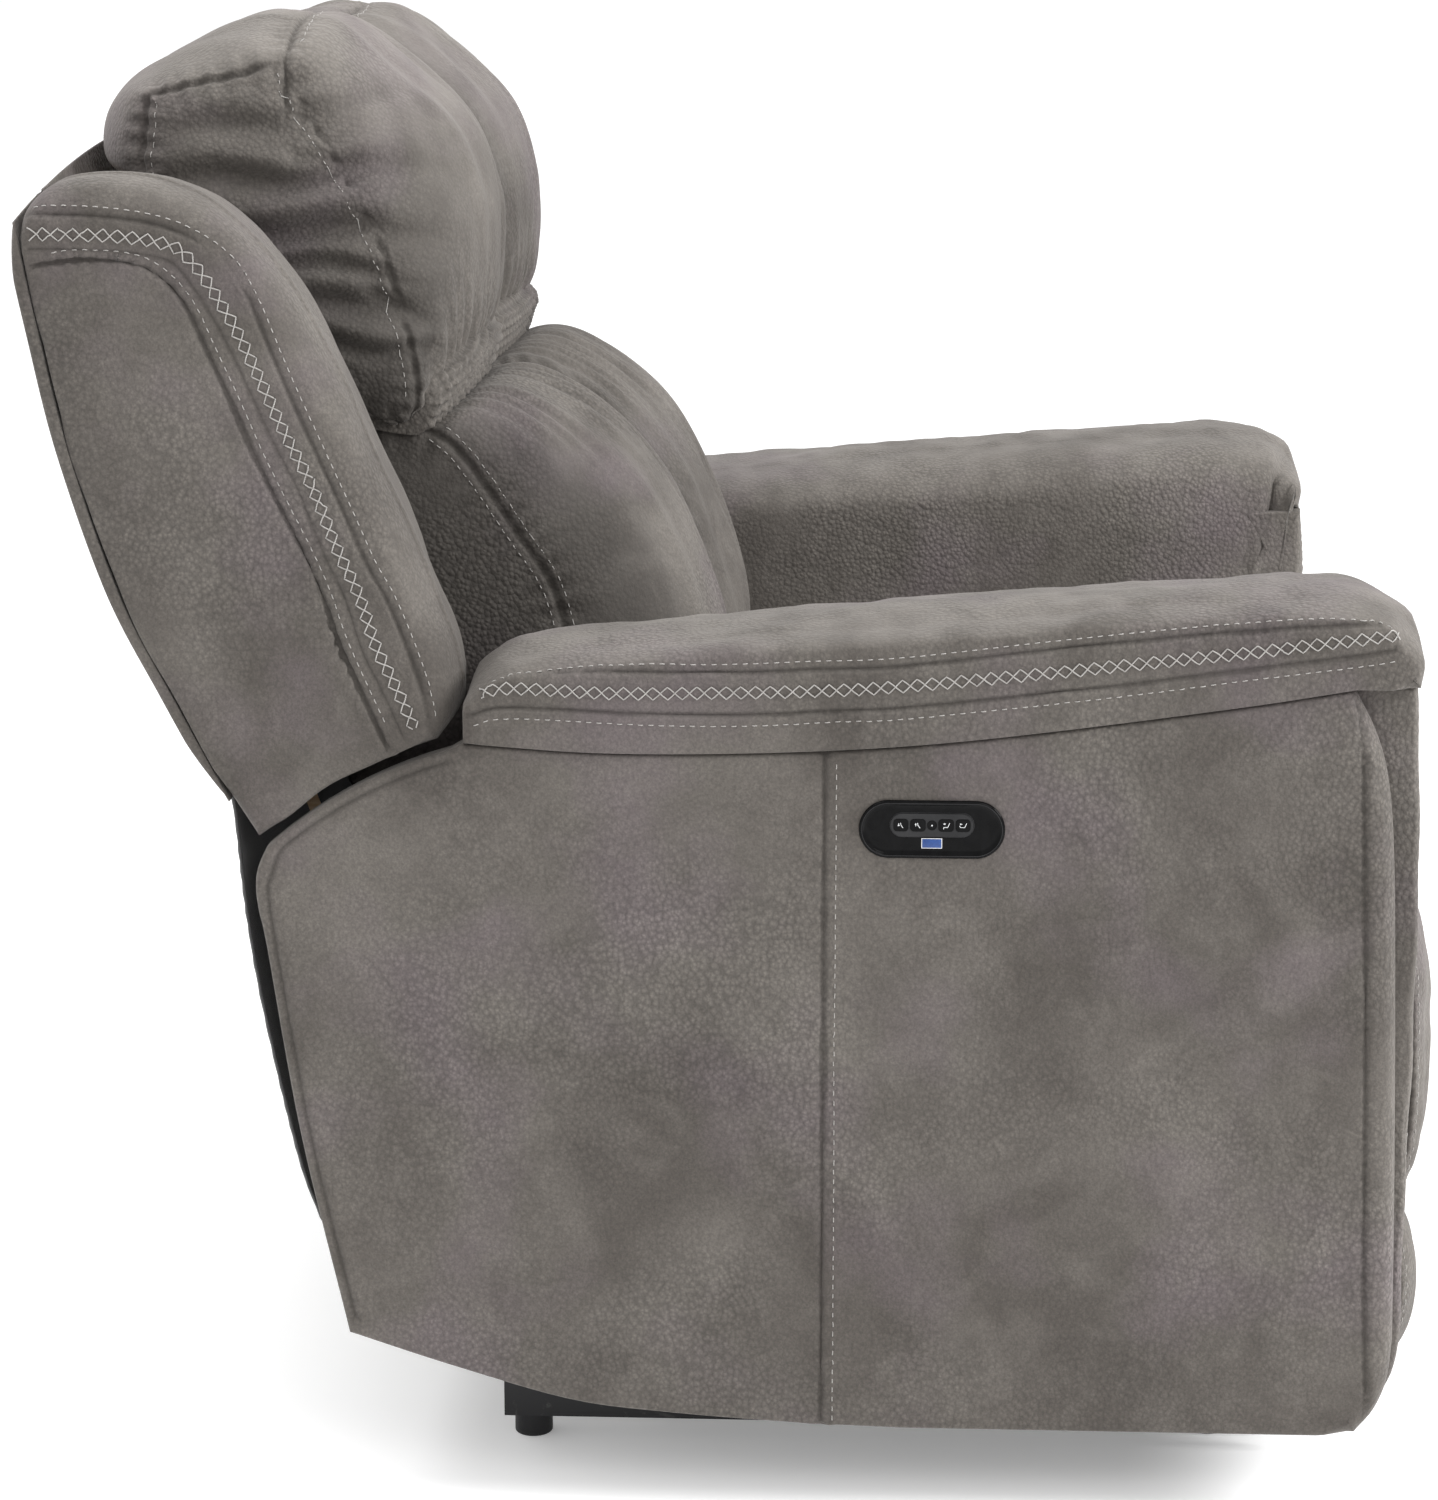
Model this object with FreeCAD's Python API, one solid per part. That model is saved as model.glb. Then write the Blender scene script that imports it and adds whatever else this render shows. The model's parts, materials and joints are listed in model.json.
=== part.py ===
"""Power recliner armchair: padded arms, winged back, tilting headrest and a scissor-link footrest.

Millimetres. +Z up, the chair faces -Y, and the origin is on the floor under the middle of its box.
"Left" and "right" are the sitter's: left is +X, right is -X. Profiles are drawn in the Y-Z plane
and extruded across the chair, so their points are (y, z).
"""

import FreeCAD, Part

import math
import os

V = FreeCAD.Vector

# ---------------------------------------------------------------- driving dimensions
ARM_OUTER_X = 520.0          # half of the overall width, at the arm pads
ARM_INNER_X = 306.0          # inner face of each arm
SIDE_FACE_X = 517.0          # outer face of the upholstered side panels
SIDE_THICKNESS = 22.0
INNER_PANEL_THICKNESS = 20.0
FRONT_FACE_Y = -489.0        # front face of the arms
FRONT_THICKNESS = 20.0

SEAT_HALF_WIDTH = 294.5
LUMBAR_HALF_WIDTH = 297.0
HEADREST_HALF_WIDTH = 311.0
WING_INNER_X = 316.0
WING_OUTER_X = 512.0
BACK_PANEL_THICKNESS = 10.0

RECLINE_PIVOT = (120.0, 245.0)      # y, z of the recline hinge
PANEL_ARC_R = 358.0                 # top rear corner of each side panel, round the recline hinge
WING_ARC_R = 364.0                  # lower edge of each wing, round the same hinge
SEAT_ARC_R = 254.0                  # rear crown of the seat cushion
LUMBAR_ARC_R = 262.0                # underside of the lumbar cushion
BACK_TILT = math.radians(19.2)      # rearward lean of the back at rest
BACK_FOOT = (388.0, 540.0)          # y, z of the lower end of the back's rear face

HEADREST_PIVOT = (268.0, 812.0)     # y, z of the headrest hinge
HEADREST_SHAFT_R = 6.0

FOOT_PIVOT = (-400.0, 335.0)        # y, z of the footrest's drive shaft
LINK_LENGTH = 250.0                 # both bars of the scissor
LINK_CLOSED = math.radians(80.0)    # bar angle below the level line when the footrest is stowed
STAY_LENGTH = 131.5                 # short bar that steers the footrest board
STAY_OFFSET = 114.5                 # from the board's main pin to its steering pin
LINK_WIDTH = 20.0
LINK_THICKNESS = 4.0
PIN_R = 4.0
RUNNING_CLEARANCE = 0.05            # radial gap of a pin in a bar that turns on it

PANEL_CENTRE = (-133.0, 532.0)      # y, z of the control panel on the right arm
BEZEL_LENGTH, BEZEL_HEIGHT = 106.0, 43.0
PLATE_LENGTH, PLATE_HEIGHT = 60.0, 17.0
PLATE_RISE = 3.5                    # the key plate sits above the bezel's centre line
KEY_GAP = 0.2


# ---------------------------------------------------------------- helpers
def box(x0, x1, y0, y1, z0, z1):
    return Part.makeBox(x1 - x0, y1 - y0, z1 - z0, V(x0, y0, z0))


def tube_x(y, z, radius, x0, x1):
    return Part.makeCylinder(radius, x1 - x0, V(x0, y, z), V(1, 0, 0))


def on_arc(centre, radius, degrees):
    a = math.radians(degrees)
    return (centre[0] + radius * math.cos(a), centre[1] + radius * math.sin(a))


def profile(steps, x0, x1):
    """Extrude a closed (y, z) outline from x0 to x1.

    Each step is a point reached by a straight line, ("arc", middle, end) or ("curve", [points]).
    """
    def at(p):
        return V(x0, p[0], p[1])

    here = at(steps[0])
    start = here
    edges = []
    for step in steps[1:] + [steps[0]]:
        if step[0] == "arc":
            end = at(step[2])
            edges.append(Part.Arc(here, at(step[1]), end).toShape())
        elif step[0] == "curve":
            end = at(step[1][-1])
            curve = Part.BSplineCurve()
            curve.interpolate([here] + [at(p) for p in step[1]])
            edges.append(curve.toShape())
        else:
            end = at(step)
            if (end - here).Length < 1e-6:
                continue
            edges.append(Part.LineSegment(here, end).toShape())
        here = end
    assert (here - start).Length < 1e-6
    return Part.Face(Part.Wire(edges)).extrude(V(x1 - x0, 0, 0))


def mirrored(shape):
    return shape.mirror(V(0, 0, 0), V(1, 0, 0))


def save(name, shape):
    assert shape.isValid(), name
    assert all(s.isValid() and s.Volume > 0 for s in shape.Solids) and shape.Solids, name
    shape.exportStep(os.path.join("parts", name + ".step"))


def save_pair(name, left):
    """A left-hand piece and its mirror image on the right."""
    save(name + "_left", left)
    save(name + "_right", mirrored(left))


def both_sides(left):
    return Part.makeCompound([left, mirrored(left)])


def bar(a, b, x0, width=LINK_WIDTH, thickness=LINK_THICKNESS):
    """A flat link with round ends between the (y, z) points a and b."""
    length = math.hypot(b[0] - a[0], b[1] - a[1])
    blank = Part.makeBox(thickness, length, width, V(0, 0, -width / 2))
    ends = [Part.makeCylinder(width / 2, thickness, V(0, y, 0), V(1, 0, 0)) for y in (0, length)]
    link = blank.fuse(ends).removeSplitter()
    link.rotate(V(0, 0, 0), V(1, 0, 0), math.degrees(math.atan2(b[1] - a[1], b[0] - a[0])))
    link.translate(V(x0, a[0], a[1]))
    return link


def drilled(shape, holes, x0, x1):
    """Cut round holes along X; holes is a list of ((y, z), radius)."""
    for (y, z), radius in holes:
        shape = shape.cut(tube_x(y, z, radius, x0 - 1, x1 + 1))
    return shape


def stadium(length, height, x0, x1, y, z):
    """A long round-ended plate facing X."""
    radius = height / 2
    flat = length / 2 - radius
    body = box(x0, x1, y - flat, y + flat, z - radius, z + radius)
    caps = [tube_x(y + side * flat, z, radius, x0, x1) for side in (-1, 1)]
    return body.fuse(caps).removeSplitter()


def back_point(along, forward):
    """A (y, z) point measured up the back's rear face and forward from it."""
    s, c = math.sin(BACK_TILT), math.cos(BACK_TILT)
    return (BACK_FOOT[0] + along * s - forward * c, BACK_FOOT[1] + along * c + forward * s)


# ---------------------------------------------------------------- shared outlines
# lower edge of the arm pad, which is the top edge of the panels under it, front to rear
PAD_UNDERSIDE = [(-358, 625), (-217, 605), (-109, 593), (0, 587), (110, 586)]
PAD_FRONT_LOW = (-435, 638)
PAD_REAR_LOW = (208, 592)


# ---------------------------------------------------------------- base and mechanism
RAIL_X0, RAIL_X1 = 360.0, 390.0
RAIL_Z0, RAIL_Z1 = 18.0, 56.0
RAIL_FRONT_Y, RAIL_REAR_Y = -420.0, 198.0
REAR_GLIDE_Y = 176.0
FRONT_GLIDE_X = 345.0
POST_Y = (-360.0, 150.0)
TUBE_SIZE = 25.0
PLATE_X0 = 290.0
PLATE_TOP_Z = 355.0


def make_base():
    rail = box(RAIL_X0, RAIL_X1, RAIL_FRONT_Y, RAIL_REAR_Y, RAIL_Z0, RAIL_Z1)
    wall = 2.0
    # an open-bottomed steel channel
    rail = rail.cut(box(RAIL_X0 + wall, RAIL_X1 - wall, RAIL_FRONT_Y - 1, RAIL_REAR_Y + 1,
                        RAIL_Z0 - 1, RAIL_Z1 - wall))
    save_pair("base_rail", rail)

    half = TUBE_SIZE / 2
    tubes = [box(-RAIL_X1, RAIL_X1, y - half, y + half, RAIL_Z1, RAIL_Z1 + TUBE_SIZE) for y in POST_Y]
    save("base_cross_tubes", Part.makeCompound(tubes))

    post_bottom = RAIL_Z1 + TUBE_SIZE
    posts = [box(PLATE_X0 - TUBE_SIZE, PLATE_X0, y - half, y + half, post_bottom, 235) for y in POST_Y]
    save("base_posts", Part.makeCompound(posts + [mirrored(p) for p in posts]))

    # the rear glides screw into the rails, and the front ones into the front cross tube
    glide_r = 15.0
    stem_r = 5.0
    glides = []
    for x, y, stem_top in (((RAIL_X0 + RAIL_X1) / 2, REAR_GLIDE_Y, RAIL_Z1 - wall),
                           (FRONT_GLIDE_X, POST_Y[0], RAIL_Z1)):
        pad = Part.makeCylinder(glide_r, RAIL_Z0, V(x, y, 0))
        pad = pad.makeFillet(2.0, [e for e in pad.Edges if e.BoundBox.ZMax < 0.1])
        stem = Part.makeCylinder(stem_r, stem_top - RAIL_Z0, V(x, y, RAIL_Z0))
        glides.append(pad.fuse(stem).removeSplitter())
    save("floor_glides", Part.makeCompound(glides + [mirrored(g) for g in glides]))


def make_mechanism():
    x0, x1 = PLATE_X0, PLATE_X0 + LINK_THICKNESS
    plate = profile([(-372, 215), (165, 215), (165, 262), (145, 300), (140, PLATE_TOP_Z),
                     (-425, PLATE_TOP_Z), (-425, 312)], x0, x1)
    recline_pin_r = 8.0
    plate = drilled(plate, [(FOOT_PIVOT, PIN_R), (RECLINE_PIVOT, recline_pin_r)], x0, x1)
    save_pair("mechanism_plate", plate)

    recline_pin = tube_x(*RECLINE_PIVOT, recline_pin_r, PLATE_X0 - 4, 305)
    shaft_pin = tube_x(*FOOT_PIVOT, PIN_R, PLATE_X0 - 7, x1 + 4)
    save("mechanism_pins", both_sides(Part.makeCompound([recline_pin, shaft_pin])))

    rail_depth, rail_height = 35.0, 25.0
    save("seat_front_rail", box(-294, 294, -430, -430 + rail_depth, PLATE_TOP_Z, PLATE_TOP_Z + rail_height))
    save("seat_rear_rail", box(-294, 294, 105, 105 + rail_depth, PLATE_TOP_Z, PLATE_TOP_Z + rail_height))
    save("seat_springs", Part.makeCompound([make_spring(x) for x in (-220, -110, 0, 110, 220)]))


def make_spring(x):
    """One sinuous wire spring: straight cross runs joined by half-round bends."""
    wire_r, half_run, pitch = 1.8, 22.0, 23.0
    z = PLATE_TOP_Z + 25.0 + wire_r
    y = -415.0
    loops = 23
    side = 1
    start = V(x - half_run, y, z)
    edges = []
    here = start
    for i in range(loops):
        end = V(x + side * half_run, here.y, z)
        edges.append(Part.LineSegment(here, end).toShape())
        if i < loops - 1:
            turn = V(end.x, end.y + pitch, z)
            middle = V(end.x + side * pitch / 2, end.y + pitch / 2, z)
            edges.append(Part.Arc(end, middle, turn).toShape())
            here = turn
        side = -side
    path = Part.Wire(edges)
    section = Part.Wire([Part.Circle(start, V(1, 0, 0), wire_r).toShape()])
    return path.makePipeShell([section], True, True)


def make_actuator():
    rail_r, rail_z = 9.0, 275.0
    rail_front, rail_rear = -322.0, 50.0
    save("actuator_rail", tube_along_y(0, rail_z, rail_r, rail_front, rail_rear))

    gearbox = box(-32, 32, rail_rear, rail_rear + 60, rail_z - 34, rail_z + 34)
    motor = Part.makeCylinder(24, 88, V(-32, rail_rear + 32, rail_z - 8), V(-1, 0, 0))
    hanger = box(-12, 12, rail_rear + 57, rail_rear + 85, rail_z - 12, PLATE_TOP_Z)
    save("actuator_motor", gearbox.fuse([motor, hanger]).removeSplitter())

    # the travelling nut carries a fork that pushes the crank on the drive shaft
    nut_y0, nut_y1 = -285.0, -245.0
    fork_tip = -350.0
    nut = box(-20, 20, nut_y0, nut_y1, rail_z - 18, rail_z + 18)
    arms = [box(12 * s if s > 0 else -17, 17 if s > 0 else -12, fork_tip, nut_y0 + 5, rail_z - 8, rail_z + 8)
            for s in (-1, 1)]
    nut = nut.fuse(arms).removeSplitter()
    nut = nut.cut(tube_along_y(0, rail_z, rail_r + RUNNING_CLEARANCE, fork_tip - 10, nut_y1 + 10))
    save("actuator_nut", nut)

    case = box(-255, -135, 20, 100, 250, 285)
    case = case.makeFillet(4.0, [e for e in case.Edges if e.Length < 36])
    save("control_box", case)

    # round low-voltage socket, low at the back of the mechanism
    inlet_r, bore_r, depth = 9.0, 2.8, 14.0
    inlet = tube_along_y(200, 235, inlet_r, 165, 190)
    inlet = inlet.fuse(box(188, 212, 162, 168, 222, 248)).removeSplitter()
    inlet = inlet.cut(tube_along_y(200, 235, bore_r, 190 - depth, 191))
    inlet = inlet.fuse(tube_along_y(200, 235, 1.0, 189 - depth, 187))
    strap = box(188, 212, 132, 162, 232, 238)
    save("power_inlet", inlet.fuse(strap).removeSplitter())


def tube_along_y(x, z, radius, y0, y1):
    return Part.makeCylinder(radius, y1 - y0, V(x, y0, z), V(0, 1, 0))


# ---------------------------------------------------------------- footrest linkage
def along(point, angle, distance):
    """Step from a (y, z) point; the angle is measured up from the forward (-Y) direction."""
    return (point[0] - distance * math.cos(angle), point[1] + distance * math.sin(angle))


def make_footrest():
    half = LINK_LENGTH / 2
    cross = along(FOOT_PIVOT, -LINK_CLOSED, half)            # where the two bars cross
    rear_end = along(FOOT_PIVOT, -LINK_CLOSED, LINK_LENGTH)  # carries the steering bar
    board_pin = along(cross, LINK_CLOSED, half)              # main pin of the footrest
    front_end = along(cross, LINK_CLOSED, -half)
    steer_pin = (board_pin[0], board_pin[1] - STAY_OFFSET)

    # the bars sit side by side in planes that step inward from the mechanism plate
    rear_x = PLATE_X0 - 6.0
    front_x = rear_x - 6.0
    bracket_x = front_x - 6.0
    stay_x = bracket_x - 6.0
    t = LINK_THICKNESS
    loose = PIN_R + RUNNING_CLEARANCE

    rear = bar(FOOT_PIVOT, rear_end, rear_x)
    rear = drilled(rear, [(FOOT_PIVOT, loose), (cross, PIN_R), (rear_end, PIN_R)], rear_x, rear_x + t)
    save_pair("rear_link", rear)
    cross_pin = tube_x(*cross, PIN_R, front_x - 1.0, rear_x + t + 1.5)
    stay_pin = tube_x(*rear_end, PIN_R, stay_x - 1.5, rear_x + t + 1.5)
    save("rear_link_pins", both_sides(Part.makeCompound([cross_pin, stay_pin])))

    tube_r = 12.5
    crank_pin = (FOOT_PIVOT[0] + 42.4, FOOT_PIVOT[1] - 42.4)
    tube = tube_x(*FOOT_PIVOT, tube_r, -rear_x, rear_x)
    tube = tube.cut(tube_x(*FOOT_PIVOT, tube_r - 2.0, -rear_x - 1, rear_x + 1))
    crank = bar(FOOT_PIVOT, crank_pin, -4.0, width=22.0, thickness=8.0)
    crank = crank.cut(tube_x(*FOOT_PIVOT, tube_r - 2.0, -10, 10))
    crank = crank.fuse(tube_x(*crank_pin, 5.0, -9.5, 9.5))
    save("torque_tube", tube.fuse(crank).removeSplitter())

    front = bar(front_end, board_pin, front_x)
    front = drilled(front, [(cross, loose)], front_x, front_x + t)
    front = front.fuse(tube_x(*board_pin, PIN_R, bracket_x - 1.5, front_x + t / 2))
    save_pair("front_link", front.removeSplitter())

    # the steering bar's upper pivot is the one opened in the loop: its stud stops short of the bracket
    steer_end = along(rear_end, math.radians(90), STAY_LENGTH)
    stay = bar(rear_end, steer_end, stay_x, width=18.0)
    stay = drilled(stay, [(rear_end, loose)], stay_x, stay_x + t)
    stay = stay.fuse(tube_x(*steer_end, 6.0, stay_x - 2.0, stay_x + 1.0)).removeSplitter()
    save("stabiliser_links", both_sides(stay))

    board_front, board_back = -478.0, -463.0
    board_top, board_bottom = 432.0, 62.0
    board = box(-292, 292, board_front, board_back, board_bottom, board_top)
    save("footrest_board", board)

    web = profile([(board_back, steer_pin[1] - 14), (board_back, board_pin[1] + 14),
                   (board_pin[0] + 11, board_pin[1] + 14), (board_pin[0] + 11, board_pin[1] - 12),
                   (board_pin[0] + 11, steer_pin[1] - 14)], bracket_x, bracket_x + t)
    foot = box(bracket_x - 22, bracket_x + t, board_back, board_back + 3, steer_pin[1] - 14, board_pin[1] + 14)
    bracket = drilled(web, [(board_pin, loose)], bracket_x, bracket_x + t)
    bracket = bracket.fuse(foot).removeSplitter()
    # trim the flange where the steering bar swings past it
    bracket = bracket.cut(box(stay_x - 4, stay_x + t + 1.0, board_back - 1, board_back + 4,
                              steer_pin[1] - 20, board_pin[1] + 20))
    save("footrest_brackets", both_sides(bracket))

    pad_top, split = 434.0, 167.0
    upper = profile([(board_front, split + 8), ("curve", [(-500, 172), (-524, 186), (-537, 230), (-538, 300),
                     (-532, 370), (-519, 420), (-500, pad_top)]), (board_front, pad_top)], -297, 297)
    save("upper_footrest_pad", upper)
    lower = profile([(board_front, 32), ("curve", [(-512, 32), (-530, 60), (-535, 100), (-530, 135),
                     (-512, 163), (-496, split)]), (board_front, split)], -297, 297)
    save("lower_footrest_pad", lower)


# ---------------------------------------------------------------- seat and arms
def make_seat():
    crown_start = on_arc(RECLINE_PIVOT, SEAT_ARC_R, 104)
    crown_middle = on_arc(RECLINE_PIVOT, SEAT_ARC_R, 73)
    crown_end = on_arc(RECLINE_PIVOT, SEAT_ARC_R, 42)
    underside = PLATE_TOP_Z + 30.0
    seat = profile([(-440, underside), (-452, 396), (-452, 448),
                    ("curve", [(-476, 456), (-485, 474), (-474, 492), (-440, 500)]),
                    ("curve", [(-300, 504), (-120, 498), crown_start]),
                    ("arc", crown_middle, crown_end),
                    (288, 396), (262, underside)], -SEAT_HALF_WIDTH, SEAT_HALF_WIDTH)
    save("seat_cushion", seat)


def make_arms():
    side = profile([
        (301, 135), ("curve", [(334, 290), (358, 436), (366, 478)]),
        ("curve", [(367, 490), on_arc(RECLINE_PIVOT, PANEL_ARC_R, 45)]),
        ("arc", on_arc(RECLINE_PIVOT, PANEL_ARC_R, 60), on_arc(RECLINE_PIVOT, PANEL_ARC_R, 74)),
        PAD_REAR_LOW, ("curve", list(reversed(PAD_UNDERSIDE)) + [PAD_FRONT_LOW]),
        ("curve", [(-453, 603), (-463, 567), (-469, 510), (-474, 400), (-479, 257), (-482, 139)]),
        ("curve", [(-478, 105), (-467, 84), (-447, 66)]),
        (-115, 66), ("curve", [(-30, 69), (60, 75), (134, 84), (225, 110)]),
    ], SIDE_FACE_X - SIDE_THICKNESS, SIDE_FACE_X)
    save("side_panel_left", side)
    window = stadium(BEZEL_LENGTH - 8, BEZEL_HEIGHT - 8, -SIDE_FACE_X - 5, -SIDE_FACE_X + SIDE_THICKNESS + 5,
                     *PANEL_CENTRE)
    save("side_panel_right", mirrored(side).cut(window))

    inner = profile([
        (235, 90), (235, 480), (228, 560), PAD_REAR_LOW, ("curve", list(reversed(PAD_UNDERSIDE)) + [PAD_FRONT_LOW]),
        (FRONT_FACE_Y + FRONT_THICKNESS, PAD_FRONT_LOW[1]), (FRONT_FACE_Y + FRONT_THICKNESS, 90),
    ], ARM_INNER_X, ARM_INNER_X + INNER_PANEL_THICKNESS)
    save_pair("arm_inner_panel", inner)

    front = profile([
        (FRONT_FACE_Y + FRONT_THICKNESS, 66), (FRONT_FACE_Y + FRONT_THICKNESS, PAD_FRONT_LOW[1]),
        (-482, PAD_FRONT_LOW[1]), ("curve", [(-486, 580), (FRONT_FACE_Y, 480), (FRONT_FACE_Y, 300),
                                            (FRONT_FACE_Y, 139)]),
        ("curve", [(-486, 106), (-476, 66)]),
    ], ARM_INNER_X, SIDE_FACE_X - SIDE_THICKNESS)
    save_pair("arm_front_panel", front)

    frame_x0 = ARM_INNER_X + INNER_PANEL_THICKNESS
    frame_x1 = SIDE_FACE_X - SIDE_THICKNESS
    ring = 18.0
    frame = box(frame_x0, frame_x1, -466, 205, 92, 560)
    frame = frame.cut(box(frame_x0 - 1, frame_x1 + 1, -466 + ring, 205 - ring, 92 + ring, 560 - ring))
    save_pair("arm_frame", frame)
    window_box = box(-frame_x1 - 1, -frame_x1 + 40, -200, -60, 500, 560)
    save("arm_frame_right", mirrored(frame).cut(window_box))

    pad = profile([
        PAD_REAR_LOW, ("curve", list(reversed(PAD_UNDERSIDE)) + [PAD_FRONT_LOW]),
        (-482, PAD_FRONT_LOW[1]), ("curve", [(-484, 662), (-474, 684), (-446, 699), (-402, 702)]),
        ("curve", [(-292, 695), (-182, 686), (-71, 677), (25, 668), (144, 657), (180, 650), (200, 638),
                   (208, 624)]),
    ], ARM_INNER_X, ARM_OUTER_X)
    save_pair("arm_pad", pad)


# ---------------------------------------------------------------- control panel on the right arm
KEYS = {                       # name: (offset forward from the middle, width)
    "button_recline_open": (22.5, 10.5),
    "button_recline_close": (10.2, 11.0),
    "button_home": (0.0, 7.0),
    "button_headrest_up": (-10.2, 11.0),
    "button_headrest_down": (-22.5, 10.5),
}


def key_solid(offset, width, x0, x1, grow=0.0):
    y = PANEL_CENTRE[0] - offset
    z = PANEL_CENTRE[1] + PLATE_RISE
    height = 9.0
    if offset == 0.0:
        return tube_x(y, z, width / 2 + grow, x0, x1)
    key = box(x0, x1, y - width / 2 - grow, y + width / 2 + grow, z - height / 2 - grow, z + height / 2 + grow)
    return key.makeFillet(2.5 + grow, [e for e in key.Edges if e.BoundBox.XLength > 1])


def make_controls():
    y, z = PANEL_CENTRE
    face = -ARM_OUTER_X
    bezel = stadium(BEZEL_LENGTH, BEZEL_HEIGHT, face + 0.6, -SIDE_FACE_X, y, z)
    tray = stadium(BEZEL_LENGTH - 9, BEZEL_HEIGHT - 9, -SIDE_FACE_X, -SIDE_FACE_X + 6, y, z)
    bezel = bezel.fuse(tray).removeSplitter()
    plate_z = z + PLATE_RISE
    bezel = bezel.cut(stadium(PLATE_LENGTH, PLATE_HEIGHT, face - 1, -SIDE_FACE_X + 7, y, plate_z))
    usb_z = z - 10.0
    usb_length, usb_height = 15.0, 7.5
    port = box(face - 1, -SIDE_FACE_X + 7, y - usb_length / 2, y + usb_length / 2,
               usb_z - usb_height / 2, usb_z + usb_height / 2)
    save("control_bezel", bezel.cut(port))

    plate = stadium(PLATE_LENGTH, PLATE_HEIGHT, face + 0.3, -SIDE_FACE_X + 6, y, plate_z)
    for offset, width in KEYS.values():
        plate = plate.cut(key_solid(offset, width, face - 1, -SIDE_FACE_X + 4, grow=KEY_GAP))
    save("control_plate", plate)
    for name, (offset, width) in KEYS.items():
        save(name, key_solid(offset, width, face, -SIDE_FACE_X + 2.4))

    wall = 0.8
    shell = box(face + 0.6, -SIDE_FACE_X + 14, y - usb_length / 2, y + usb_length / 2,
                usb_z - usb_height / 2, usb_z + usb_height / 2)
    shell = shell.cut(box(face, -SIDE_FACE_X + 13, y - usb_length / 2 + wall, y + usb_length / 2 - wall,
                          usb_z - usb_height / 2 + wall, usb_z + usb_height / 2 - wall))
    save("usb_shell", shell)
    save("usb_tongue", box(face + 2.0, -SIDE_FACE_X + 13, y - 6.0, y + 6.0, usb_z + 0.3, usb_z + 2.2))


# ---------------------------------------------------------------- back
def make_back():
    rear_edge = [(531, 955), (518, 885), (499, 798), (467, 698), (430, 622), (390, 545)]
    t = BACK_PANEL_THICKNESS
    seam_gap = 1.0
    inset_edge = [(y - t - seam_gap, z) for y, z in rear_edge]
    wing = profile([
        on_arc(RECLINE_PIVOT, WING_ARC_R, 72.6), ("curve", [(218, 610), (214, 632), (219, 660)]),
        ("curve", [(233, 694), (249, 738), (287, 825), (318, 893), (333, 919), (351, 944), (369, 963),
                   (392, 980), (438, 996), (474, 997), (501, 991), (517, 974)]),
        inset_edge[0], ("curve", inset_edge[1:]),
        on_arc(RECLINE_PIVOT, WING_ARC_R, 48.6),
        ("arc", on_arc(RECLINE_PIVOT, WING_ARC_R, 60), on_arc(RECLINE_PIVOT, WING_ARC_R, 72.6)),
    ], WING_INNER_X, WING_OUTER_X)
    save_pair("wing", wing)

    panel = profile([
        (538, 1012), ("curve", rear_edge), (rear_edge[-1][0] - t, rear_edge[-1][1]),
        ("curve", [(y - t, z) for y, z in reversed(rear_edge[:-1])]), (538 - t, 1012),
    ], -WING_OUTER_X, WING_OUTER_X)
    shoulder_z, crown_z = 966.0, 1010.0
    arch = Part.Wire([
        Part.LineSegment(V(-600, 300, 500), V(600, 300, 500)).toShape(),
        Part.LineSegment(V(600, 300, 500), V(600, 300, shoulder_z - 8)).toShape(),
        Part.Arc(V(600, 300, shoulder_z - 8), V(0, 300, crown_z), V(-600, 300, shoulder_z - 8)).toShape(),
        Part.LineSegment(V(-600, 300, shoulder_z - 8), V(-600, 300, 500)).toShape(),
    ])
    save("back_panel", panel.common(Part.Face(arch).extrude(V(0, 300, 0))))

    depth0, depth1 = 13.0, 43.0
    upright = profile([back_point(-70, depth0), back_point(425, depth0), back_point(425, depth1),
                       back_point(-70, depth1)], 265, 299)
    frame = [upright, mirrored(upright)]
    for s in (-70.0, 130.0, 385.0):
        frame.append(profile([back_point(s, depth0), back_point(s + 40, depth0), back_point(s + 40, depth1),
                              back_point(s, depth1)], -265, 265))
    save("back_frame", frame[0].fuse(frame[1:]).removeSplitter())

    bracket = bar(RECLINE_PIVOT, (262, 322), 299, width=46).fuse([
        bar((262, 322), (322, 470), 299, width=40),
        bar((322, 470), back_point(190, 30), 299, width=28)]).removeSplitter()
    bracket = drilled(bracket, [(RECLINE_PIVOT, 8.0 + RUNNING_CLEARANCE)], 299, 303)
    save_pair("back_bracket", bracket)

    lumbar = profile([
        on_arc(RECLINE_PIVOT, LUMBAR_ARC_R, 108),
        ("curve", [(31, 530), (29, 570), (37, 610), (47, 655), (62, 698), (88, 738), (122, 776), (156, 806),
                   (184, 822)]),
        ("curve", [(215, 820), (250, 794)]), (425, 800), back_point(0, 48), (312, 470),
        on_arc(RECLINE_PIVOT, LUMBAR_ARC_R, 46),
        ("arc", on_arc(RECLINE_PIVOT, LUMBAR_ARC_R, 77), on_arc(RECLINE_PIVOT, LUMBAR_ARC_R, 108)),
    ], -LUMBAR_HALF_WIDTH, LUMBAR_HALF_WIDTH)
    save("lumbar_cushion", lumbar)

    # black cloth-covered flap that closes the back below the outer panel
    cover = profile([(327, 209), ("curve", [(344, 260), (367, 370), (379, 450), (385, 520)]),
                     (379, 520), ("curve", [(373, 450), (361, 370), (338, 260), (321, 209)])], -485, 485)
    save("rear_cover", cover)


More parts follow.
